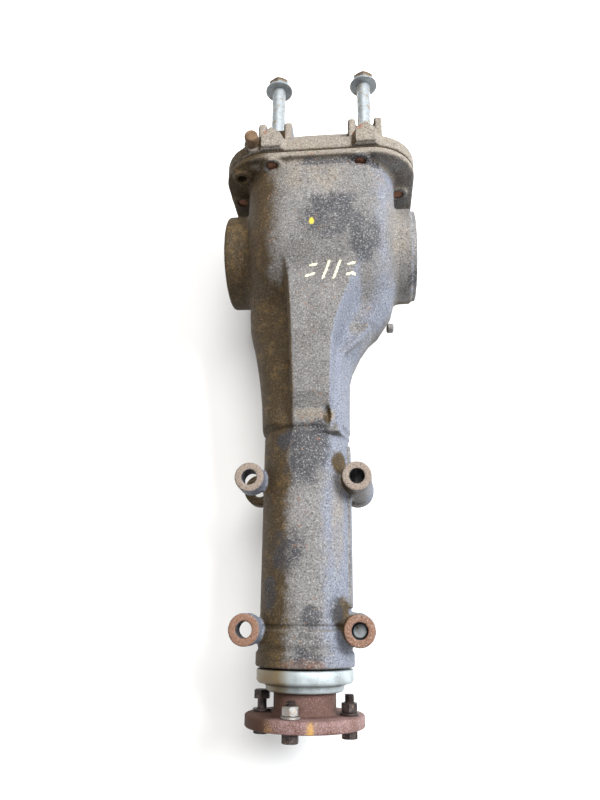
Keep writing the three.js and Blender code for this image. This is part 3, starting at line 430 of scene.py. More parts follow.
class Shader:
    """A material's nodes, made with short calls. Places are object coordinates, which are the row frame."""

    def __init__(self, name, roughness=0.6, metallic=0.0, specular=0.5):
        self.material = bpy.data.materials.new(name)
        self.material.use_nodes = True
        self.tree = self.material.node_tree
        self.surface = self.tree.nodes["Principled BSDF"]
        self.surface.inputs["Roughness"].default_value = roughness
        self.surface.inputs["Metallic"].default_value = metallic
        self.surface.inputs["Specular IOR Level"].default_value = specular
        self.place = self.tree.nodes.new("ShaderNodeTexCoord").outputs["Object"]

    def link(self, source, socket):
        if isinstance(source, bpy.types.NodeSocket):
            self.tree.links.new(source, socket)
        else:
            socket.default_value = (*source, 1.0) if isinstance(source, tuple) else source

    def noise(self, size_mm, detail=3.0, rough=0.55, offset=0.0):
        node = self.tree.nodes.new("ShaderNodeTexNoise")
        node.inputs["Scale"].default_value = 1 / (size_mm * MM)
        node.inputs["Detail"].default_value = detail
        node.inputs["Roughness"].default_value = rough
        source = self.place
        if offset:
            shift = self.tree.nodes.new("ShaderNodeVectorMath")
            self.link(self.place, shift.inputs[0])
            shift.inputs[1].default_value = (offset, offset * 0.7, offset * 1.3)
            source = shift.outputs[0]
        self.link(source, node.inputs["Vector"])
        return node.outputs["Fac"]

    def math(self, operation, a, b=0.0):
        node = self.tree.nodes.new("ShaderNodeMath")
        node.operation = operation
        self.link(a, node.inputs[0])
        self.link(b, node.inputs[1])
        return node.outputs[0]

    def times(self, a, b):
        return self.math("MULTIPLY", a, b)

    def ramp(self, value, low, high, out_low=0.0, out_high=1.0):
        node = self.tree.nodes.new("ShaderNodeMapRange")
        node.interpolation_type = "SMOOTHSTEP"
        self.link(value, node.inputs["Value"])
        node.inputs["From Min"].default_value = low
        node.inputs["From Max"].default_value = high
        node.inputs["To Min"].default_value = out_low
        node.inputs["To Max"].default_value = out_high
        return node.outputs["Result"]

    def mask(self, name, noise=None, spread=0.8):
        """A painted mask, with its edge broken up by a noise."""
        node = self.tree.nodes.new("ShaderNodeAttribute")
        node.attribute_name = name
        value = node.outputs["Fac"]
        if noise is None:
            return value
        ragged = self.math("MULTIPLY_ADD", self.math("SUBTRACT", noise, 0.5), spread)
        self.link(value, ragged.node.inputs[2])
        broken = self.ramp(ragged, 0.12, 0.88)
        return self.times(broken, self.ramp(value, 0.0, 0.2))

    def mix(self, factor, a, b, blend="MIX"):
        node = self.tree.nodes.new("ShaderNodeMix")
        node.data_type = "RGBA"
        node.blend_type = blend
        self.link(factor, node.inputs["Factor"])
        sockets = [s for s in node.inputs if s.type == "RGBA"]
        for value, socket in zip((a, b), sockets):
            self.link(value, socket)
        return next(s for s in node.outputs if s.type == "RGBA")

    def colour(self, value):
        self.link(value, self.surface.inputs["Base Color"])

    def roughness(self, value):
        self.link(value, self.surface.inputs["Roughness"])

    def metallic(self, value):
        self.link(value, self.surface.inputs["Metallic"])

    def bump(self, height, depth_mm, strength=1.0):
        node = self.tree.nodes.new("ShaderNodeBump")
        node.inputs["Strength"].default_value = strength
        node.inputs["Distance"].default_value = depth_mm * MM
        self.link(height, node.inputs["Height"])
        self.link(node.outputs["Normal"], self.surface.inputs["Normal"])


def cast_iron_material():
    s = Shader("cast_iron", roughness=0.68, specular=0.3)
    grain = s.noise(1.5, 2.0, 0.7)
    sand = s.noise(0.75, 1.0, 0.6, offset=3.1)
    patch = s.noise(34, 5.0, 0.65)
    blotch = s.noise(9, 6.0, 0.75, offset=1.7)
    stain = s.noise(18, 8.0, 0.75, offset=4.3)
    colour = s.mix(s.ramp(patch, 0.3, 0.7), (0.112, 0.106, 0.103), (0.165, 0.158, 0.155))
    # Painted highlight: lighter bluish grey on the faces turned to the light on the right.
    colour = s.mix(s.mask("cool", stain, 1.6), colour, (0.158, 0.172, 0.216))
    colour = s.mix(s.mask("tan", stain, 1.8), colour, (0.205, 0.176, 0.143))
    # Dark brown grime mixed with painted shade on the faces away from the light.
    grime = s.mask("grime", stain, 1.8)
    colour = s.mix(grime, colour, (0.046, 0.028, 0.009))
    amber = s.times(grime, s.ramp(blotch, 0.50, 0.66))
    colour = s.mix(s.times(amber, 0.5), colour, (0.150, 0.092, 0.030))
    # Dark smudges, with painted shade in the groove in front of the flange.
    smudge = s.times(s.mask("smudge", stain, 3.2), 0.8)
    colour = s.mix(smudge, colour, (0.026, 0.028, 0.036))
    colour = s.mix(s.mask("bare", grain, 0.5), colour, (0.215, 0.170, 0.138))
    freckle = s.times(s.ramp(s.noise(4.5, 3.0, 0.7, offset=5.3), 0.60, 0.70),
                     s.ramp(s.noise(45, 2.0, 0.5, offset=8.9), 0.48, 0.62))
    colour = s.mix(s.times(freckle, 0.7), colour, (0.240, 0.105, 0.045))
    colour = s.mix(s.mask("rust", stain, 1.8), colour, (0.190, 0.100, 0.064))
    light = s.ramp(grain, 0.53, 0.70)
    dark = s.ramp(grain, 0.47, 0.31)
    colour = s.mix(s.times(light, s.ramp(grime, 0.0, 1.0, 0.50, 0.12)), colour,
                   (0.40, 0.38, 0.36))
    colour = s.mix(s.times(dark, 0.72), colour, (0.022, 0.018, 0.015))
    colour = s.mix(s.mask("shade"), colour, (0.012, 0.010, 0.008))
    colour = s.mix(s.mask("cream", grain, 0.9), colour, (0.70, 0.66, 0.45))
    colour = s.mix(s.mask("yellow", grain, 0.9), colour, (0.55, 0.42, 0.05))
    s.colour(colour)
    s.roughness(s.ramp(grain, 0.3, 0.7, 0.82, 0.60))
    s.bump(s.math("ADD", s.times(grain, 0.7), s.times(sand, 0.3)), 0.8, 0.9)
    return s.material


def rust_material(name, dark, light, speck, streak_and_shade):
    s = Shader(name, roughness=0.8, specular=0.3)
    grain = s.noise(1.1, 3.0, 0.7)
    patch = s.noise(14, 4.0, 0.65)
    colour = s.mix(s.ramp(patch, 0.35, 0.65), dark, light)
    colour = s.mix(s.times(s.ramp(grain, 0.50, 0.66), 0.5), colour, speck)
    colour = s.mix(s.times(s.ramp(grain, 0.46, 0.32), 0.75), colour, (0.045, 0.018, 0.012))
    # Dark brown grime, and painted shade on the side away from the light.
    colour = s.mix(s.mask("grime", patch, 0.8), colour, (0.050, 0.020, 0.010))
    colour = s.mix(s.mask("streak_and_shade", grain, 1.0), colour, streak_and_shade)
    s.colour(colour)
    s.bump(grain, 0.35, 0.8)
    return s.material


def zinc_material(name, base, stain, stain_amount):
    s = Shader(name, roughness=0.42, metallic=0.6)
    patch = s.noise(7, 4.0, 0.65)
    grain = s.noise(0.8, 2.0, 0.6)
    pale = s.ramp(s.noise(5, 4.0, 0.7, offset=4.4), 0.60, 0.68)
    colour = s.mix(s.ramp(patch, 0.35, 0.65), base, tuple(c * 0.72 for c in base))
    colour = s.mix(s.times(s.ramp(patch, 0.56, 0.66), stain_amount), colour, stain)
    colour = s.mix(s.times(pale, 0.7), colour, (0.55, 0.54, 0.46))
    colour = s.mix(s.mask("grime", patch, 1.2), colour, (0.115, 0.070, 0.030))
    s.colour(colour)
    s.metallic(s.ramp(patch, 0.50, 0.68, 0.65, 0.2))
    s.roughness(s.ramp(patch, 0.3, 0.7, 0.34, 0.62))
    s.bump(s.math("ADD", grain, s.times(pale, 0.6)), 0.18, 0.6)
    return s.material


def shield_material():
    s = Shader("dull_zinc", roughness=0.5, metallic=0.35)
    patch = s.noise(16, 4.0, 0.6)
    speck = s.noise(1.8, 3.0, 0.7, offset=2.2)
    colour = s.mix(s.ramp(patch, 0.35, 0.65), (0.29, 0.32, 0.325), (0.37, 0.42, 0.44))
    # Brown streaks, and painted shade where the mask follows the side away from the light.
    colour = s.mix(s.mask("streak_and_shade", patch, 0.9), colour, (0.145, 0.100, 0.045))
    colour = s.mix(s.times(s.ramp(speck, 0.60, 0.68), 0.6), colour, (0.15, 0.12, 0.08))
    s.colour(colour)
    s.metallic(s.ramp(patch, 0.4, 0.6, 0.5, 0.2))
    s.bump(speck, 0.2, 0.5)
    return s.material


def steel_material(name, dark, light, roughness, metallic, wear):
    s = Shader(name, roughness=roughness, metallic=metallic)
    patch = s.noise(6, 4.0, 0.6)
    grain = s.noise(0.7, 2.0, 0.6)
    colour = s.mix(s.ramp(patch, 0.35, 0.65), dark, light)
    worn = s.ramp(s.noise(3, 3.0, 0.7, offset=6.1), 0.58, 0.70)
    colour = s.mix(s.times(worn, 0.8), colour, wear)
    s.colour(colour)
    s.roughness(s.ramp(patch, 0.3, 0.7, roughness - 0.1, roughness + 0.15))
    s.bump(grain, 0.15, 0.5)
    return s.material


def soft_material(name, colour, roughness):
    s = Shader(name, roughness=roughness, specular=0.35)
    dust = s.ramp(s.noise(9, 4.0, 0.6), 0.50, 0.75, 0.0, 0.35)
    s.colour(s.mix(dust, colour, (0.13, 0.10, 0.07)))
    s.bump(s.noise(0.9, 3.0, 0.6), 0.12, 0.6)
    return s.material


MATERIAL = {
    "cast_iron": cast_iron_material(),
    "rusty_iron": rust_material("rusty_iron", (0.125, 0.062, 0.050), (0.205, 0.125, 0.115),
                                (0.38, 0.29, 0.30), (0.46, 0.27, 0.06)),
    "zinc_steel": zinc_material("zinc_steel", (0.36, 0.39, 0.41), (0.20, 0.14, 0.06), 0.85),
    "dull_zinc": shield_material(),
    "dark_steel": steel_material("dark_steel", (0.022, 0.017, 0.016), (0.062, 0.045, 0.042), 0.42, 0.5,
                                 (0.20, 0.13, 0.08)),
    "gear_steel": steel_material("gear_steel", (0.32, 0.32, 0.33), (0.46, 0.46, 0.47), 0.30, 0.9,
                                 (0.20, 0.17, 0.12)),
    "seal_rubber": soft_material("seal_rubber", (0.018, 0.018, 0.020), 0.55),
    "gasket": soft_material("gasket", (0.035, 0.040, 0.036), 0.85),
    "case_iron": steel_material("case_iron", (0.09, 0.085, 0.08), (0.16, 0.15, 0.14), 0.55, 0.4,
                                (0.26, 0.23, 0.20)),
    "bolt_end": rust_material("bolt_end", (0.22, 0.095, 0.055), (0.33, 0.155, 0.095), (0.40, 0.24, 0.16),
                              (0.55, 0.30, 0.10)),
    "old_brass": rust_material("old_brass", (0.075, 0.045, 0.025), (0.165, 0.100, 0.055), (0.26, 0.18, 0.11),
                               (0.20, 0.12, 0.06)),
    "silvery_steel": steel_material("silvery_steel", (0.20, 0.18, 0.16), (0.36, 0.35, 0.34), 0.34, 0.75,
                                    (0.34, 0.19, 0.06)),
}

for part in frame["record"]["subparts"]:
    node = frame["nodes"][part["node"]]
    node.data.materials.clear()
    node.data.materials.append(MATERIAL[part["material_slot"]])
frame["nodes"]["differential_case"].data.materials[0] = MATERIAL["case_iron"]


# ---------------------------------------------------------------- carrier casting

NOSE_END = -392.0
LEFT_FACE = -79.2
RIGHT_FACE = 109.7
TUBE_RADIUS = 47.9
JOINT_Y = 68.0
FLANGE_FRONT = 62.0
FLANGE_MIDDLE = (16.0, 0.0)
FLANGE_HALF = (93.9, 87.9)
FLANGE_CORNER = 45.0
BOSS_X = 47.2
BOSS_ROWS = (-236.5, -363.0)
BOSS_TOP = 38.2
BOSS_BOTTOM = (18.0, -38.2)              # left and right
BOSS_RADIUS = 13.0
BOSS_HOLE = 6.65
COVER_BOLTS = [(-28, 78), (56, 78), (94, 24), (94, -24), (56, -78), (-28, -78), (-66, -24), (-66, 24)]
SPARE_BOSS = (-59.4, 64.0)

BOWL_MIDDLE_X = 16.5
BOWL_HALF_X = 75.0
BOWL_RADIUS = 82.5
BOWL_SQUARENESS = 3.3

CAVITY_OUTLINE = [(-51, 40), (-45, 52), (-32, 62), (-12, 76.5), (44, 76.5), (52, 66), (66, 60), (79, 42)]


def bowl_skin(x, y, z):
    """The outside of the bowl: a fat oval turned about X in front of the axis and drawn out behind it."""
    r = np.sqrt(np.minimum(y, 0) ** 2 + z ** 2) / BOWL_RADIUS
    across = np.abs(x - BOWL_MIDDLE_X) / BOWL_HALF_X
    size = (r ** BOWL_SQUARENESS + across ** BOWL_SQUARENESS) ** (1 / BOWL_SQUARENESS)
    return np.maximum((size - 1) * BOWL_HALF_X, np.maximum(-57 - x, x - 89))


def bowl_shape(outline, rounding):
    """An outline in X and radius, turned about X in front of the axis and drawn out along Y behind it."""
    def shape(x, y, z):
        r = np.sqrt(np.minimum(y, 0) ** 2 + z ** 2)
        result = smooth_max(outline[0][0] - x, x - outline[-1][0], rounding)
        for (x0, r0), (x1, r1) in zip(outline, outline[1:]):
            length = math.hypot(x1 - x0, r1 - r0)
            away = ((r0 - r1) * (x - x0) + (x1 - x0) * (r - r0)) / length
            result = smooth_max(result, away, rounding)
        return result
    return shape


SHOULDER = [
    (-30, -56, 84, -50, 50), (-66, -57, 83, -46, 45), (-84, -56, 72, -44, 43), (-92, -54.5, 63, -43, 42.5),
    (-106, -51, 53.5, -42.5, 42), (-124, -47.5, 45, -42, 41.5), (-139, -45, 41.5, -40.5, 40.5),
    (-160, -42.5, 40.8, -40, 40), (-188, -41, 40.4, -39.6, 39.6),
]

# the rib on top: place on Y, left edge, right edge, height
RIB = [
    (0, -18, 64, 70), (-30, -15, 57, 71.8), (-50, -13.8, 49.5, 70), (-62, -13, 45, 69.2), (-84, -12, 36, 66),
    (-100, -11.5, 31, 63.3), (-113, -11, 27.5, 61), (-163, -10, 25.5, 53.8), (-176, -10, 25.2, 46.5),
    (-181, -10, 25.0, 45.3), (-189, -9.5, 24.5, 42.6), (-194, -8.0, 24.0, 37.5),
]

# the shelf on the right of the rib: place on Y, X of its edge, X of the outer side below the edge
FLANK = [
    (-189, 32.1, 40.6), (-160, 32.3, 41.1), (-137.6, 32.6, 41.6), (-122.4, 36.0, 46.8), (-113.2, 44.9, 50.8),
    (-104.6, 54.9, 56.0), (-96, 61.0, 62.0),
]
SHELF_TOP = 35.5


def flank_shelf(x, y, z):
    edge, outside = read_along(FLANK, y)
    side = x - edge - 0.24 * np.maximum(SHELF_TOP - z, 0)
    return smooth_max(smooth_max(side, x - outside, 2), smooth_max(z - SHELF_TOP, -z, 1), 3)


def flank_lip(x, y, z):
    """The raised edge of the shelf, which runs out where it meets the bowl."""
    places, edges, _ = zip(*FLANK)
    edge = np.interp(y, places, edges).astype(np.float32)
    slope = np.abs(np.interp(y, places, np.gradient(edges, places))).astype(np.float32)
    radius = np.interp(y, (-112, -102), (3.0, 0.5)).astype(np.float32)
    return np.hypot((x - edge + 2.2) / np.sqrt(1 + slope ** 2), z - SHELF_TOP + 1.0) - radius


def rib_shape(x, y, z):
    left, right, top = read_along(RIB, y)
    below = np.maximum(top - z, 0)
    lean = np.interp(y, (-115, -62), (0.16, 0.42)).astype(np.float32)
    sides = smooth_max(left - 0.14 * below - x, x - right - lean * below, 2)
    body = smooth_max(sides, z - top, 3.0)
    return np.maximum(body, np.maximum(RIB[-1][0] - y, 20 - z))


# the outside of the nose: place on Y, radius
NOSE = [
    (NOSE_END, 41.6), (-391.2, 42.2), (-381, 42.2), (-379.6, 40.3), (-376.4, 40.3), (-375, 41.3),
    (-363.6, 40.3), (-362.6, 37.6), (-359.4, 37.6), (-358.2, 39.3), (-193.8, 39.3), (-192.8, 38.0), (-191.2, 38.0),
    (-190.0, 40.9), (-186.4, 40.9), (-185, 39.6), (-80, 39.5),
]


def carrier_field():
    field = Field((-86, -396, -91), (114, 71.5, 91), CARRIER_STEP)
    field.add(bowl_skin, (-58, -84, -84), (90, FLANGE_FRONT + 4, 84), 0)
    beyond = box_shape((-100, FLANGE_FRONT + 3, -100), (130, 100, 100), 0.5)
    field.take(beyond, (-90, FLANGE_FRONT, -91), (114, 72, 91), 0.2)
    field.add(lofted(SHOULDER, 2.7), (-58, -188, -52), (86, -30, 52), 7)
    field.add(profile_rod("y", NOSE), (-43, NOSE_END, -43), (43, -80, 43), 1.0)
    field.add(flank_shelf, (0, -189, 0), (64, -98, 36), 4)
    field.add(flank_lip, (28, -189, 30), (64, -100, 39), 3)
    field.add(rib_shape, (-34, -194, 20), (90, 0, 75), 5)

    # side tubes
    left = [(LEFT_FACE, TUBE_RADIUS - 1.8), (LEFT_FACE + 1.8, TUBE_RADIUS), (-40, TUBE_RADIUS + 0.6)]
    right = [(70, TUBE_RADIUS + 0.4), (RIGHT_FACE - 5.5, TUBE_RADIUS), (RIGHT_FACE - 3.6, 45.4),
             (RIGHT_FACE - 0.8, 45.4), (RIGHT_FACE, 44.7)]
    field.add(profile_rod("x", left), (LEFT_FACE, -50, -50), (-40, 50, 50), 5)
    field.add(profile_rod("x", right), (70, -50, -50), (RIGHT_FACE, 50, 50), 5)

    # flange with the bosses of its bolts
    def flange(x, y, z):
        outline = rounded_rectangle(x, z, FLANGE_MIDDLE, FLANGE_HALF, FLANGE_CORNER)
        return smooth_max(outline, np.maximum(FLANGE_FRONT - y, y - JOINT_Y), 0.5)
    field.add(flange, (-79, FLANGE_FRONT, -88), (110, JOINT_Y, 88), 3.5)
    for x, z in COVER_BOLTS:
        field.add_rod("y", 9.6, 59, JOINT_Y - 1, (x, 0, z), 4)
    field.add_rod("y", 9.2, 57, JOINT_Y - 1, (SPARE_BOSS[0], 0, SPARE_BOSS[1]), 3)
    field.add_box((-58, 60, 62), (-30, 66, 76), 4, 3)

    # right side: a nub on the edge, and the low rib along the nose
    field.add_box((79, -83, -6), (86, -77, 6), 2, 1.5)
    field.add_box((29, -345, -8), (41.5, -203, 11.5), 1.5, 1.2)

    # dents in the left flank
    field.take(ellipsoid((-30, -116, 46), (13, 4.5, 7)), (-46, -124, 36), (-14, -108, 56), 3)
    field.take(ellipsoid((-20, -134, 47), (10, 4.5, 8)), (-34, -142, 36), (-8, -126, 58), 3)
    # a pocket beside the front of the rib
    field.take(ellipsoid((22, -183, 47), (4.4, 8.5, 10)), (14, -194, 34), (30, -172, 60), 1.5)

    for row, y in enumerate(BOSS_ROWS):
        for side, bottom in zip((-1, 1), BOSS_BOTTOM):
            x = side * BOSS_X
            reach = BOSS_X - 10 if side < 0 else BOSS_X - 3
            inner, outer = sorted((0.0, side * reach))
            field.add_box((inner, y - 9, -22), (outer, y + 9, 18), 6, 4)
            inner, outer = sorted((0.0, x))
            if row == 0:
                field.add_rod("z", 14.9, -38.1, -23, (x, y, 0), 3)
                field.add_box((inner, y - 13, -34), (outer, y + 20, -24), 4, 3)
            elif side > 0:
                field.add_box((inner, y + 2, -14), (outer + 4, y + 13.5, 4), 6, 4)
            field.add_rod("z", BOSS_RADIUS, bottom, BOSS_TOP, (x, y, 0), 4, draft=0.012)

    # openings
    field.take(bowl_shape(CAVITY_OUTLINE, 4), (-52, -78, -78), (80, 80, 78), 0.4)
    for y in BOSS_ROWS:
        for side in (-1, 1):
            field.take_rod("z", BOSS_HOLE, -60, 60, (side * BOSS_X, y, 0))
    bore = [(NOSE_END - 10, 35), (-373.2, 35), (-373, 33), (-346, 33), (-345.8, 30), (-106, 30),
            (-105.8, 36), (-50, 36)]
    field.take(profile_rod("y", bore), (-36, NOSE_END - 10, -36), (36, -50, 36), 0.4)
    field.take_rod("x", 38.2, -120, 140, (0, 0, 0))
    for x, z in COVER_BOLTS:
        field.take_rod("y", 5.35, 56.5, 90, (x, 0, z), 0.3)
    field.take_rod("y", 4.6, 53, 90, (SPARE_BOSS[0], 0, SPARE_BOSS[1]), 0.3)

    # raised foundry dots and bars on the bowl
    for i in range(6):
        field.add(ellipsoid((2 + 6.4 * i, 38, 82.4), (2.1, 2.6, 1.1)), (-3 + 6.4 * i, 34, 80),
                  (8 + 6.4 * i, 42, 84), 0.5)
    for x in (6, 13, 30):
        field.add_box((x - 1, 20, 81), (x + 1, 27, 83.3), 0.5, 0.5)
    field.value = smooth_max(field.value, field.axes[1][None, :, None] - JOINT_Y, 0)
    field.value = smooth_max(field.value, np.abs(field.axes[2])[None, None, :] - FLANGE_HALF[1], 0)
    return field


def blob(places, centre, radius):
    """A soft round spot on the surface, one near the centre and nought beyond the radius."""
    away = (places - np.array(centre)) / np.array(radius)
    return 1 - smooth_step(0.35, 1.0, np.sqrt((away ** 2).sum(1)))


def stroke(places, start, end, width):
    """A brush stroke between two points in X and Y on the top of the casting."""
    a, b = np.array(start, float), np.array(end, float)
    p = places[:, :2]
    t = np.clip(((p - a) @ (b - a)) / ((b - a) @ (b - a)), 0, 1)
    away = np.sqrt(((p - a - t[:, None] * (b - a)) ** 2).sum(1))
    return (1 - smooth_step(width * 0.5, width, away)) * (places[:, 2] > 60)


def cast_masks(piece):
    """Paints where the casting is grimy or in painted shade, where it gets a painted bluish highlight, and where
    it is tan, smudged, machined, rusty or dark.
    """
    p, n = mesh_data(piece)
    x, y, z = p.T
    radius = np.sqrt(x ** 2 + z ** 2)
    up = smooth_step(0.3, 0.7, n[:, 2])

    on_bowl = smooth_step(-75, -45, y)
    # Grime and painted shade: darker on faces turned left or down, away from the light, on the left of the casting
    # and on the left of the nose, with dark spots.
    grime = smooth_step(-0.1, 0.85, -n[:, 0]) * (1.15 - 0.55 * on_bowl)
    grime += 0.9 * smooth_step(0.25, -0.5, n[:, 2])
    grime += smooth_step(-2, -58, x) * 0.7 + smooth_step(-48, -60, x) * 0.5
    grime += smooth_step(-9, -16, x) * smooth_step(-52, -72, y) * smooth_step(-230, -180, y)
    grime += blob(p, (-30, -236, 36), (26, 20, 14)) + blob(p, (32, -222, 26), (11, 16, 24))
    grime += blob(p, (34, -350, 22), (13, 20, 24)) + blob(p, (22, -184, 42), (6, 10, 12)) * 0.8
    # Painted bluish highlight on faces turned to the right, on the shelf beside the rib and on the left boss
    # stems.
    cool = smooth_step(0.15, 0.8, n[:, 0]) * smooth_step(-0.3, 0.3, n[:, 2]) * (0.95 - 0.35 * on_bowl)
    shelf = smooth_step(22, 30, x) * smooth_step(-192, -185, y) * smooth_step(-92, -104, y)
    cool += up * shelf * (z < 44) * 0.7
    tan = smooth_step(56, 62, y) * smooth_step(-0.2, 0.4, n[:, 2]) * 0.9
    tan += smooth_step(-191, -182, y) * smooth_step(-174, -180, y) * (z > 38) * (x > -8) * 0.7
    tan += blob(p, (30, -270, 28), (9, 80, 30)) * 0.45 + blob(p, (88, 0, 30), (26, 60, 60)) * 0.5
    tan += blob(p, (10, 40, 84), (60, 34, 20)) * 0.45

    smudge = blob(p, (25, -5, 82), (38, 28, 20)) * 0.8 + 0.8 * blob(p, (60, -20, 74), (24, 34, 26))
    smudge += 0.6 * blob(p, (34, 14, 83), (30, 16, 14)) + 0.5 * blob(p, (10, 18, 83), (14, 9, 10))
    for spot, size in (((-5, -200, 38), 9), ((2, -229, 39), 15), ((15, -197, 38), 9), ((0, -216, 39), 11),
                       ((-18, -205, 35), 7), ((-12, -300, 36), 14), ((29, -347, 28), 8), ((8, -352, 39), 8),
                       ((5, -380, 42), 12), ((-30, -335, 28), 10), ((17, -210, 36), 10),
                       ((107, -40, 26), 7)):
        smudge += 0.7 * blob(p, spot, (size * 1.5, size * 2.0, size * 2.0))
    # Painted shade in the groove just in front of the flange.
    before_flange = smooth_step(53, 56.5, y) * smooth_step(62.6, 60.5, y)
    smudge += before_flange * smooth_step(-12, 10, x) * (x < 75) * 0.8
    smudge += blob(p, (29, -349, 26), (7, 8, 12)) * 0.5

    near_row = [np.abs(y - row) < 14.5 for row in BOSS_ROWS]
    top_face = (np.abs(z - BOSS_TOP) < 1.0) & (np.abs(np.abs(x) - BOSS_X) < 14.5) & (n[:, 2] > 0.7)
    bare = top_face & near_row[0]
    rust = (top_face & near_row[1]) * 0.9
    rust += blob(p, (0, NOSE_END, 40), (40, 12, 12)) * 0.3
    for bx, bz in COVER_BOLTS:
        rust += blob(p, (bx, 58, bz), (9, 5, 9)) * 0.5
    from_hole = np.hypot(np.abs(x) - BOSS_X, np.minimum(*[np.abs(y - row) for row in BOSS_ROWS]))
    stem_left = smooth_step(18, 13, from_hole) * (x < 0) * (z > 8) * ~top_face
    shade = (radius < 37.5) & (y < -81) | (np.abs(n[:, 2]) < 0.5) & (from_hole < 7.4)
    shade = shade | (bowl_shape(CAVITY_OUTLINE, 4)(x, y, z) < 0.8)

    cool = cool * (1 - 0.8 * np.clip(tan, 0, 1)) + stem_left * 0.8
    grime = grime * (1 - 0.85 * stem_left)
    cream = sum(stroke(p, start, end, 1.4) for start, end in (
        ((20, -60), (26, -44)), ((30, -60), (36, -44)), ((5, -57), (12, -55)), ((9, -47), (14, -46)),
        ((42, -57), (49, -55)), ((44, -47), (49, -46))))
    paint(piece, grime=grime, cool=cool, tan=tan, smudge=smudge, bare=bare.astype(float), rust=rust,
          shade=shade.astype(float) * 0.8, cream=cream, yellow=blob(p, (10.5, -7, 82.5), (3.4, 5, 6)))


CARRIER_NODES = ("nose_housing", "shoulder_housing", "bowl_housing", "carrier_flange")
carrier_points, carrier_faces = surface_net(carrier_field())
carrier = mesh_piece("carrier_casting", carrier_points, carrier_faces, MATERIAL["cast_iron"], "cast_iron",
                     "housing", CARRIER_NODES)
cast_masks(carrier)


# ---------------------------------------------------------------- rear cover casting

COVER_FACE = 69.4
COVER_FLANGE_END = 81.4
COVER_BACK = 118.0
LUG_XS = (-28.0, 62.0)
LUG_Z = 45.0
LUG_END = 122.0
EAR_INNER = 9.0
EAR_THICK = 8.0
PLUGS = {"fill_plug": (46.0, -4.0), "drain_plug": (12.0, -40.0)}
BREATHER = (-46.0, 78.5)


def dome(inset, end):
    """The bulge of the cover: place on Y, half width, half height, all set in for the hollow."""
    middle = FLANGE_MIDDLE[0]
    steps = ((COVER_FACE - 3, 78, 68), (end - 18, 74, 64), (end - 6, 67, 57), (end, 58, 48))
    return lofted([(y, middle - half_x + inset, middle + half_x - inset, -half_z + inset, half_z - inset)
                   for y, half_x, half_z in steps], 3.2)


def ear(x, side):
    """One cheek of a lug, with a rounded top and a slanted foot."""
    inner = x + side * EAR_INNER
    outer = x + side * (EAR_INNER + EAR_THICK)
    low_x, high_x = min(inner, outer), max(inner, outer)

    def shape(x, y, z):
        thick = np.abs(x - (low_x + high_x) / 2) - (high_x - low_x) / 2
        corner = 11.0
        du = np.maximum(y - (LUG_END + 2.8 - corner), 0)
        dv = np.maximum(z - (LUG_Z + 24 - corner), 0)
        top = np.sqrt(du ** 2 + dv ** 2) - corner
        slope = (y - LUG_END - 3) * 0.77 - (z - (LUG_Z - 8)) * 0.64
        back = (z - (LUG_Z + 36)) * 0.95 + (y - 74) * 0.2
        outline = smooth_max(smooth_max(top, slope, 3), np.maximum(back, LUG_Z - 25 - z), 2)
        return smooth_max(outline, thick, 3.0)
    return shape, (low_x, 72, LUG_Z - 25), (high_x, LUG_END + 3, LUG_Z + 26)


def stop_block(x):
    """The house-shaped block in front of a lug, with its ridge towards the rear."""
    def shape(px, y, z):
        sides = np.abs(px - x) - 9.8
        gable = (y - 93.5 + np.abs(px - x) * 0.85) * 0.76
        outline = smooth_max(sides, smooth_max(gable, COVER_FACE + 1 - y, 1), 1.2)
        return smooth_max(outline, np.maximum(LUG_Z - z, z - 94), 1.2)
    return shape, (x - 11, COVER_FACE, LUG_Z), (x + 11, 94, 94)


def cover_field():
    field = Field((-87, 66, -91), (113, 128, 97), COVER_STEP)

    def flange(x, y, z):
        outline = rounded_rectangle(x, z, FLANGE_MIDDLE, FLANGE_HALF, FLANGE_CORNER)
        return smooth_max(outline, np.maximum(COVER_FACE - y, y - COVER_FLANGE_END), 0.5)
    field.add(flange, (-79, COVER_FACE, -88), (110, COVER_FLANGE_END, 88), 0)
    field.add(dome(0, COVER_BACK), (-63, COVER_FACE, -69), (95, COVER_BACK, 69), 7)
    for x in LUG_XS:
        field.add_box((x - 10, COVER_FACE + 5, LUG_Z - 20), (x + 10, LUG_END, LUG_Z + 11), 4, 1.5)
        for side in (-1, 1):
            field.add(*ear(x, side), 2.5)
        field.add(*stop_block(x), 7)
    for offset in (-36, -18, 0, 18, 36):
        field.add_box((14 + offset, 106, -50), (18 + offset, 121.8, 20), 2.5, 1.5)
    for x, z in PLUGS.values():
        field.add_rod("y", 15, 108, 122, (x, 0, z), 3)
    field.add_rod("z", 8.5, 55, 89, (*BREATHER, 0), 2.5)
    for x, z in COVER_BOLTS:
        field.add_rod("y", 10.5, COVER_FACE + 2, COVER_FLANGE_END, (x, 0, z), 2)
        field.take_rod("y", 11.3, COVER_FLANGE_END, 132, (x, 0, z), 0.8)
    field.take(dome(7, COVER_BACK - 7), (-57, 60, -62), (89, COVER_BACK - 7, 62), 0.4)
    for x, z in [*COVER_BOLTS, SPARE_BOSS]:
        field.take_rod("y", 5.35, 60, 90, (x, 0, z), 0.3)
    for x in LUG_XS:
        field.take_rod("y", 7.5, 94, 140, (x, 0, LUG_Z), 0.3)
    for x, z in PLUGS.values():
        field.take_rod("y", 9.4, 100, 140, (x, 0, z), 0.3)
    field.take_rod("z", 4.5, 60, 120, (*BREATHER, 0), 0.3)
    field.value = smooth_max(field.value, COVER_FACE - field.axes[1][None, :, None], 0)
    field.value = smooth_max(field.value, -FLANGE_HALF[1] - field.axes[2][None, None, :], 0)
    return field


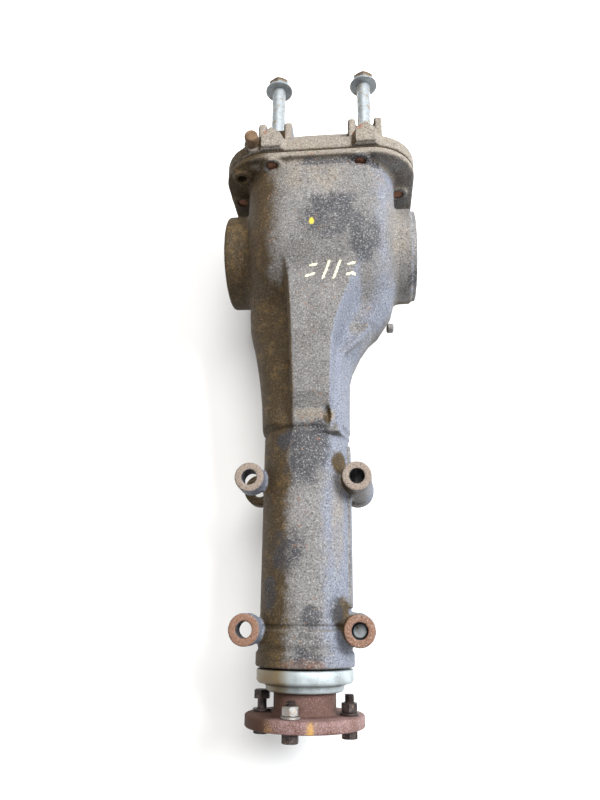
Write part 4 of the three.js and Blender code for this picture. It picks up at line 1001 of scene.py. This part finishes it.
def cover_masks(piece):
    p, n = mesh_data(piece)
    x, y, z = p.T
    # Grime and painted shade: darker on faces turned left or down, away from the light, and between the cheeks of
    # each lug.
    grime = smooth_step(0.2, 0.7, -n[:, 0]) + 0.8 * smooth_step(0.2, -0.5, n[:, 2])
    grime += blob(p, (-60, 80, 70), (22, 14, 30))
    for lug in LUG_XS:
        grime += ((np.abs(x - lug) < 9.2) & (y > 90) & (z < 62) & (n[:, 2] > -0.2)) * 0.9
    tan = smooth_step(-0.1, 0.5, n[:, 2]) * smooth_step(20, 60, z) * 0.95
    tan += blob(p, (13, 120, 0), (70, 12, 50)) * 0.3
    rust = sum(blob(p, (lug - 6, 88, 92), (6, 7, 7)) for lug in LUG_XS) * 0.9
    # Painted bluish highlight on the faces of the cover turned to the right.
    cool = smooth_step(0.35, 0.8, n[:, 0]) * 0.8
    inner = dome(7, COVER_BACK - 7)(x, y, z) < 0.8
    paint(piece, grime=grime, cool=cool, tan=tan * (1 - np.clip(grime, 0, 1)),
          smudge=0.7 * blob(p, (85, 76, 60), (20, 8, 30)), rust=rust, shade=inner * 0.8)


cover_points, cover_faces = surface_net(cover_field())
cover = mesh_piece("cover_casting", cover_points, cover_faces, MATERIAL["cast_iron"], "cast_iron",
                   "housing", ("rear_cover",))
cover_masks(cover)


# ---------------------------------------------------------------- sealant squeezed out of the joint

def outline_ring(inset, y, steps=12):
    """Points of the flange's outline, set in by a distance."""
    corner = FLANGE_CORNER - inset
    ring = []
    quarters = ((1, 1), (-1, 1), (-1, -1), (1, -1))
    for quarter, (sign_x, sign_z) in enumerate(quarters):
        middle_x = FLANGE_MIDDLE[0] + sign_x * (FLANGE_HALF[0] - FLANGE_CORNER)
        middle_z = sign_z * (FLANGE_HALF[1] - FLANGE_CORNER)
        for step in range(steps + 1):
            angle = math.pi / 2 * (quarter + step / steps)
            ring.append((middle_x + corner * math.cos(angle), y, middle_z + corner * math.sin(angle)))
    return ring


bead_rings = [outline_ring(inset, y) for inset, y in ((2.6, 68.1), (0.45, 68.1), (0.2, 68.4), (0.2, 69.0),
                                                      (0.45, 69.3), (2.6, 69.3))]
bead_points, bead_faces = rings_to_mesh(bead_rings, looped=True)
bead = mesh_piece("joint_sealant", bead_points, bead_faces, MATERIAL["cast_iron"], "gasket", "housing", ())
bead_normals = mesh_data(bead)[1]
paint_mask(bead, "tan", smooth_step(-0.1, 0.5, bead_normals[:, 2]) * 0.9)
# Painted shade on the faces of the bead turned left or down.
paint_mask(bead, "grime", smooth_step(0.2, 0.7, -bead_normals[:, 0])
           + 0.8 * smooth_step(0.2, -0.5, bead_normals[:, 2]))


# ---------------------------------------------------------------- bolts of the housing

def bolt_parts(across_flats, head, radius, length, collar=None, dish=0.5, thread_from=None, pitch=1.25):
    """A bolt round +Z with its seat at nought, its head above and its shank below."""
    parts = []
    head_foot = 0.0
    if collar:
        collar_radius, collar_height = collar
        parts.append(lathe([(0.5, 0), (collar_radius, 0), (collar_radius, collar_height * 0.4),
                            (across_flats * 0.52, collar_height), (0.5, collar_height)], 64))
        head_foot = collar_height - 0.2
    parts.append(hex_prism(across_flats, head_foot, head, dish))
    plain_end = -length if thread_from is None else -thread_from
    parts.append(lathe([(0.5, 0.2), (radius, 0.2), (radius, plain_end), (0.5, plain_end)], 40))
    if thread_from is not None:
        parts.append(thread(radius, -length + 0.3, plain_end + 0.2, pitch, 0.62 * pitch))
    return merge(parts)


def add_bolt(name, seat, direction, material, slot_name, node, body="housing", **shape):
    """A bolt whose head points along the direction from its seat."""
    points, faces = aimed(bolt_parts(**shape), seat, direction)
    return mesh_piece(name, points, faces, MATERIAL[material], slot_name, body, (node,), SHARP_EDGES)


for i, (x, z) in enumerate(COVER_BOLTS):
    add_bolt(f"cover_bolt_{i + 1}_detail", (x, COVER_FLANGE_END + 0.3, z), (0, 1, 0), "bolt_end",
             "rusty_iron", f"cover_bolt_{i + 1}", across_flats=13.8, head=8.9, radius=4.95, length=22.4,
             collar=(9.4, 2.2), thread_from=8, pitch=1.25)

for name, (x, z) in PLUGS.items():
    add_bolt(f"{name}_detail", (x, 122.3, z), (0, 1, 0), "dark_steel", "dark_steel", name,
             across_flats=21.8, head=8.8, radius=8.9, length=14, collar=(13.4, 2.4), dish=2.5,
             thread_from=2, pitch=1.5)

for side, x in zip(("left", "right"), LUG_XS):
    long_bolt = add_bolt(
        f"{side}_mounting_bolt_detail", (x, 182, LUG_Z), (0, 1, 0), "zinc_steel", "zinc_steel",
             f"{side}_mounting_bolt", across_flats=19.8, head=11.3, radius=6.95, length=85,
             collar=(14.2, 4.4), dish=1.2, thread_from=62, pitch=1.5)
    bolt_places, bolt_normals = mesh_data(long_bolt)
    paint_mask(long_bolt, "grime",
               smooth_step(184, 190, bolt_places[:, 1]) * smooth_step(0.2, 0.8, bolt_normals[:, 2])
               + blob(bolt_places, (x - 4, 140, LUG_Z + 6), (8, 16, 8)) * 0.6)

add_bolt("nose_mounting_bolt_detail", (BOSS_X, BOSS_ROWS[1], -38.5), (0, 0, -1), "zinc_steel", "zinc_steel",
         "nose_mounting_bolt", across_flats=16.8, head=8.8, radius=5.95, length=64,
         collar=(11.4, 2.2), thread_from=34, pitch=1.25)

breather_low, breather_high = node_range("breather_plug")
seat = 89.3
breather = merge([
    lathe([(0.4, breather_low.z), (3.9, breather_low.z), (3.9, seat), (0.4, seat)], 32),
    lathe([(0.4, seat), (6.4, seat), (6.4, seat + 1.6), (5.9, seat + 2.2), (5.9, seat + 3.2),
           (6.45, seat + 3.8), (6.45, breather_high.z - 1.6), (5.6, breather_high.z - 0.4),
           (3.6, breather_high.z - 0.05), (0.4, breather_high.z - 0.05)], 64),
])
mesh_piece("breather_detail", *aimed(breather, (*BREATHER, 0), (0, 0, 1)), MATERIAL["old_brass"],
           "rusty_iron", "housing", ("breather_plug",), TURNED_EDGES)


# ---------------------------------------------------------------- side outputs

def add_turned(name, profile, axis_direction, material, slot_name, body, nodes):
    """A turned ring whose closed profile is (radius, place along the axis)."""
    points, faces = aimed(lathe(profile, looped=True), (0, 0, 0), axis_direction)
    return mesh_piece(name, points, faces, MATERIAL[material], slot_name, body, nodes, TURNED_EDGES)


for side, sign in (("left", -1), ("right", 1)):
    low, high = node_range(f"{side}_bearing_adjuster")
    inner, outer = sorted((abs(low.x), abs(high.x)))
    add_turned(f"{side}_adjuster_detail", [
        (27.2, inner), (37.6, inner), (37.6, outer - 0.8), (36.8, outer), (34.5, outer), (34.0, outer - 1.2),
        (30.5, outer - 1.2), (30.0, outer), (27.2, outer)], (sign, 0, 0), "dark_steel", "dark_steel",
        "housing", (f"{side}_bearing_adjuster",))
    low, high = node_range(f"{side}_axle_seal")
    inner, outer = sorted((abs(low.x), abs(high.x)))
    rim = max(abs(low.z), high.z) - 0.2
    add_turned(f"{side}_axle_seal_detail", [
        (rim, inner + 0.1), (rim, outer - 0.1), (rim - 2.5, outer - 0.1), (rim - 3.2, outer - 1.2),
        (23.5, outer - 1.4), (20.5, outer - 0.4), (18.2, outer - 0.2), (17.3, outer - 1.4),
        (19.0, inner + 1.0), (24.0, inner + 0.1)], (sign, 0, 0), "seal_rubber", "seal_rubber",
        "housing", (f"{side}_axle_seal",))


# ---------------------------------------------------------------- companion flange and dust shield

HUB_RADIUS = 26.2
DISC_RADIUS = 49.8
DISC_REAR = 428.1
DISC_FRONT = 437.6
BOLT_CIRCLE = 38.0
FLANGE_BOLT_HEAD = 7
BOLT_ANGLES = (102, 12, -78, 192)


flange_rear = -node_range("companion_flange")[1].y
companion = add_turned("companion_flange_detail", [
    (14.3, flange_rear), (24.6, flange_rear), (HUB_RADIUS, flange_rear + 1.6), (HUB_RADIUS, DISC_REAR - 2.2),
    (HUB_RADIUS + 0.9, DISC_REAR - 0.6), (HUB_RADIUS + 2.6, DISC_REAR), (DISC_RADIUS - 0.8, DISC_REAR),
    (DISC_RADIUS, DISC_REAR + 0.9), (DISC_RADIUS, DISC_FRONT - 0.9), (DISC_RADIUS - 0.9, DISC_FRONT),
    (30.2, DISC_FRONT), (29.8, DISC_FRONT - 2.0), (20.6, DISC_FRONT - 2.2), (20.0, DISC_FRONT - 3.4),
    (20.0, 420.2), (14.3, 420.2)], (0, -1, 0), "rusty_iron", "rusty_iron", "pinion_shaft",
    ("companion_flange",))
streak_places = mesh_data(companion)[0]
hub_radius = np.hypot(streak_places[:, 0], streak_places[:, 2])
# Painted shade on the left of the flange, away from the light, and darker in towards the hub.
paint_mask(companion, "grime", smooth_step(-8, -40, streak_places[:, 0]) * 0.95
           + smooth_step(38, 30, hub_radius) * 0.55)
paint_mask(companion, "streak_and_shade", blob(streak_places, (8.5, -434, 48), (4.5, 9, 12)) * 0.7
            + blob(streak_places, (-24, -434, 42), (9, 8, 14)) * 0.35)

shield_low, shield_high = node_range("dust_shield")
shield_rear, shield_front = -shield_high.y, -shield_low.y
shield = add_turned("dust_shield_detail", [
    (26.5, shield_rear), (40.2, shield_rear), (41.0, shield_rear + 0.8), (41.0, shield_rear + 8.6),
    (39.6, shield_rear + 10.6), (34.6, shield_rear + 11.8), (33.4, shield_rear + 12.6),
    (32.6, shield_front - 1.2), (31.4, shield_front - 0.1), (26.5, shield_front - 0.1)], (0, -1, 0),
    "dull_zinc", "dull_zinc", "pinion_shaft", ("dust_shield",))
shield_places = mesh_data(shield)[0]
# Darker brown on the left, away from the light, and towards the bottom: part stain, part painted shade.
shield_left = smooth_step(2, -22, shield_places[:, 0]) * smooth_step(-5, 20, shield_places[:, 2])
paint_mask(shield, "streak_and_shade", shield_left * 0.75 + smooth_step(0, -30, shield_places[:, 2]) * 0.4)


def radial(angle, along):
    return (BOLT_CIRCLE * math.cos(math.radians(angle)), along, BOLT_CIRCLE * math.sin(math.radians(angle)))


def add_flange_piece(name, part, angle, along, steel):
    points, faces = aimed(part, radial(angle, along), (0, 1, 0))
    mesh_piece(f"{name}_detail", points, faces, MATERIAL[steel], "dark_steel", "pinion_shaft", (name,),
               SHARP_EDGES)


for i, angle in enumerate(BOLT_ANGLES):
    washer_low, washer_high = node_range(f"flange_washer_{i + 1}")
    bolt_low, bolt_high = node_range(f"flange_bolt_{i + 1}")
    nut_low, nut_high = node_range(f"flange_nut_{i + 1}")
    near = i == 0
    steel = "silvery_steel" if near else "dark_steel"
    thick = washer_high.y - washer_low.y
    washer = lathe([(4.5, 0), (7.9, 0), (7.9, thick), (4.5, thick)], 48, looped=True)
    add_flange_piece(f"flange_washer_{i + 1}", washer, angle, washer_low.y, steel)
    nut = hex_prism(12.9, 0, nut_high.y - nut_low.y, bore=4.35, both_ends=True)
    add_flange_piece(f"flange_nut_{i + 1}", nut, angle, nut_low.y, steel)

    length = bolt_high.y - bolt_low.y - (10 if near else FLANGE_BOLT_HEAD)
    if nut_high.y < washer_low.y:
        seat_y, direction = bolt_high.y - FLANGE_BOLT_HEAD, (0, 1, 0)
    else:
        seat_y, direction = bolt_low.y + FLANGE_BOLT_HEAD, (0, -1, 0)
    add_bolt(f"flange_bolt_{i + 1}_detail", radial(angle, seat_y), direction, "dark_steel", "dark_steel",
             f"flange_bolt_{i + 1}", body="pinion_shaft", across_flats=12.8, head=6.9, radius=3.95,
             length=length - 0.3, thread_from=min(11, length - 4), pitch=1.25)

nut_low, nut_high = node_range("pinion_nut")
pinion_nut = hex_prism(29.6, 0, nut_high.y - nut_low.y - 0.2, bore=9.0, both_ends=True)
mesh_piece("pinion_nut_detail", *aimed(pinion_nut, (0, nut_low.y + 0.1, 0), (0, 1, 0)),
           MATERIAL["dark_steel"], "dark_steel", "pinion_shaft", ("pinion_nut",), SHARP_EDGES)


# ---------------------------------------------------------------- floor, light and camera

def stage_floor():
    half = 6.0
    mesh = bpy.data.meshes.new("floor")
    mesh.from_pydata([(-half, -half, -0.0005), (half, -half, -0.0005), (half, half, -0.0005),
                      (-half, half, -0.0005)], [], [(0, 1, 2, 3)])
    floor = bpy.data.objects.new("floor", mesh)
    bpy.context.scene.collection.objects.link(floor)
    s = Shader("floor", roughness=0.9, specular=0.1)
    s.colour(s.mix(s.ramp(s.noise(400, 2.0), 0.3, 0.7), (0.86, 0.86, 0.86), (0.90, 0.90, 0.90)))
    mesh.materials.append(s.material)


def area_light(name, place, target, size, power, colour):
    light = bpy.data.lights.new(name, "AREA")
    light.shape = "DISK"
    light.size = size
    light.energy = power
    light.color = colour
    lamp = bpy.data.objects.new(name, light)
    bpy.context.scene.collection.objects.link(lamp)
    lamp.location = place
    lamp.rotation_euler = (Vector(target) - Vector(place)).to_track_quat("-Z", "Y").to_euler()


stage_floor()
area_light("key", (1.5, 0.5, 1.7), (0, 0, 0.05), 1.1, 88, (0.95, 0.98, 1.0))
area_light("top", (0.1, 0.9, 2.2), (0, 0, 0), 1.6, 48, (1.0, 0.99, 0.97))
area_light("left", (-1.8, -0.4, 1.2), (0, 0, 0.05), 1.4, 4, (1.0, 0.93, 0.82))

world = bpy.data.worlds.new("studio")
bpy.context.scene.world = world
world.use_nodes = True
world.node_tree.nodes["Background"].inputs["Color"].default_value = (1.0, 1.0, 1.0, 1.0)
world.node_tree.nodes["Background"].inputs["Strength"].default_value = 0.42
bpy.context.scene.view_settings.view_transform = "Standard"

CAMERA_PLACE = (52.22, -355.0, 585.0)
CAMERA_RIGHT = Vector((0.99525, 0.00974, -0.09686))
CAMERA_UP = Vector((0.02229, 0.94577, 0.32406))
CAMERA_BACK = Vector((0.09476, -0.32468, 0.94106))

camera_data = bpy.data.cameras.new("camera")
camera_data.lens = 28.83
camera_data.sensor_width = 36.0
camera = bpy.data.objects.new("camera", camera_data)
bpy.context.scene.collection.objects.link(camera)
turn = Matrix((CAMERA_RIGHT, CAMERA_UP, CAMERA_BACK)).transposed()
camera.matrix_world = Matrix.Translation(to_row(CAMERA_PLACE)) @ turn.to_4x4()
bpy.context.scene.camera = camera
